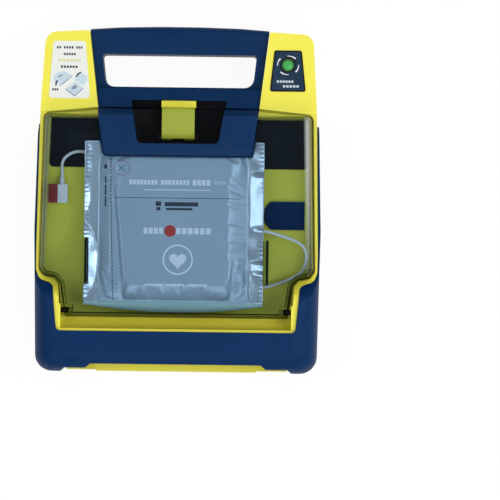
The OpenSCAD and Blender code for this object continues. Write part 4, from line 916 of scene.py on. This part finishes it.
# studio: a pale floor that the camera sees nearly white, a lamp at each side of the camera, one over the handle, a
# strip at the right, one at the foot, and a sky that is a little brighter round the sides than overhead
studioSet = {
    "floor": 6.0, "floorDrop": 0.0005, "paperGlow": 0.93, "overhead": 0.46, "sides": 0.6, "skyFade": (0.45, 0.95),
    "aim": (0, 0, 0.04),
    "lights": [("keyLight", (-1.4, 0.15, 2.2), 0.9, 0.9, 10), ("fillLight", (1.4, -0.1, 2.1), 0.9, 0.9, 16),
               ("topLight", (0.2, 0.6, 2.7), 0.6, 0.6, 5), ("stripLight", (1.7, 0.1, 0.9), 0.35, 1.6, 4),
               ("footLight", (0.1, -1.3, 1.7), 1.6, 0.5, 12)],
}
bpy.ops.object.select_all(action="DESELECT")
bpy.ops.mesh.primitive_plane_add(size=studioSet["floor"], location=(0, 0, -studioSet["floorDrop"]))
floor = bpy.context.object
floor.name = "studioFloor"
floorPaper, tree, shader, coords = startMaterial("studio paper", {"Roughness": 0.9, "Specular IOR Level": 0.1})
fibre = addNode(tree, "ShaderNodeTexNoise", {"Scale": 6, "Detail": 2}, {"Vector": coords})
paperTone = addNode(tree, "ShaderNodeMix", {"data_type": "RGBA", 6: linear("#fcfcfb"), 7: linear("#f8f8f7")},
                    {0: fibre.outputs["Fac"]})
tree.links.new(paperTone.outputs[2], shader.inputs["Base Color"])
paths = addNode(tree, "ShaderNodeLightPath")
direct = addNode(tree, "ShaderNodeMath", {"operation": "MAXIMUM"},
                 {0: paths.outputs["Is Camera Ray"], 1: paths.outputs["Is Glossy Ray"]})
seen = addNode(tree, "ShaderNodeMath", {"operation": "MAXIMUM"},
               {0: direct.outputs[0], 1: paths.outputs["Is Transmission Ray"]})
glow = addNode(tree, "ShaderNodeMath", {"operation": "MULTIPLY", 1: studioSet["paperGlow"]}, {0: seen.outputs[0]})
white = addNode(tree, "ShaderNodeEmission", {"Color": (1, 1, 1, 1), "Strength": 1.0})
paper = addNode(tree, "ShaderNodeMixShader", {}, {0: glow.outputs[0], 1: shader.outputs[0], 2: white.outputs[0]})
tree.links.new(paper.outputs[0], tree.nodes["Material Output"].inputs["Surface"])
floor.data.materials.append(floorPaper)

for name, place, wide, tall, power in studioSet["lights"]:
    bpy.ops.object.light_add(type="AREA", location=place)
    lamp = bpy.context.object
    lamp.name = name
    lamp.data.shape = "RECTANGLE"
    lamp.data.size = wide
    lamp.data.size_y = tall
    lamp.data.energy = power
    lamp.rotation_euler = (Vector(studioSet["aim"]) - Vector(place)).to_track_quat("-Z", "Y").to_euler()

world = bpy.data.worlds.new("studioSky")
bpy.context.scene.world = world
world.use_nodes = True
skyTree = world.node_tree
sky = skyTree.nodes["Background"]
sky.inputs["Color"].default_value = (1, 1, 1, 1)
skyCoords = addNode(skyTree, "ShaderNodeTexCoord").outputs["Generated"]
upward = addNode(skyTree, "ShaderNodeSeparateXYZ", {}, {0: skyCoords})
fadeFrom, fadeTo = studioSet["skyFade"]
fade = addNode(skyTree, "ShaderNodeMapRange", {"From Min": fadeFrom, "From Max": fadeTo, "To Min": studioSet["sides"],
                                               "To Max": studioSet["overhead"]}, {"Value": upward.outputs["Z"]})
skyTree.links.new(fade.outputs[0], sky.inputs["Strength"])
bpy.context.scene.view_settings.view_transform = "Standard"
print("studio lit")
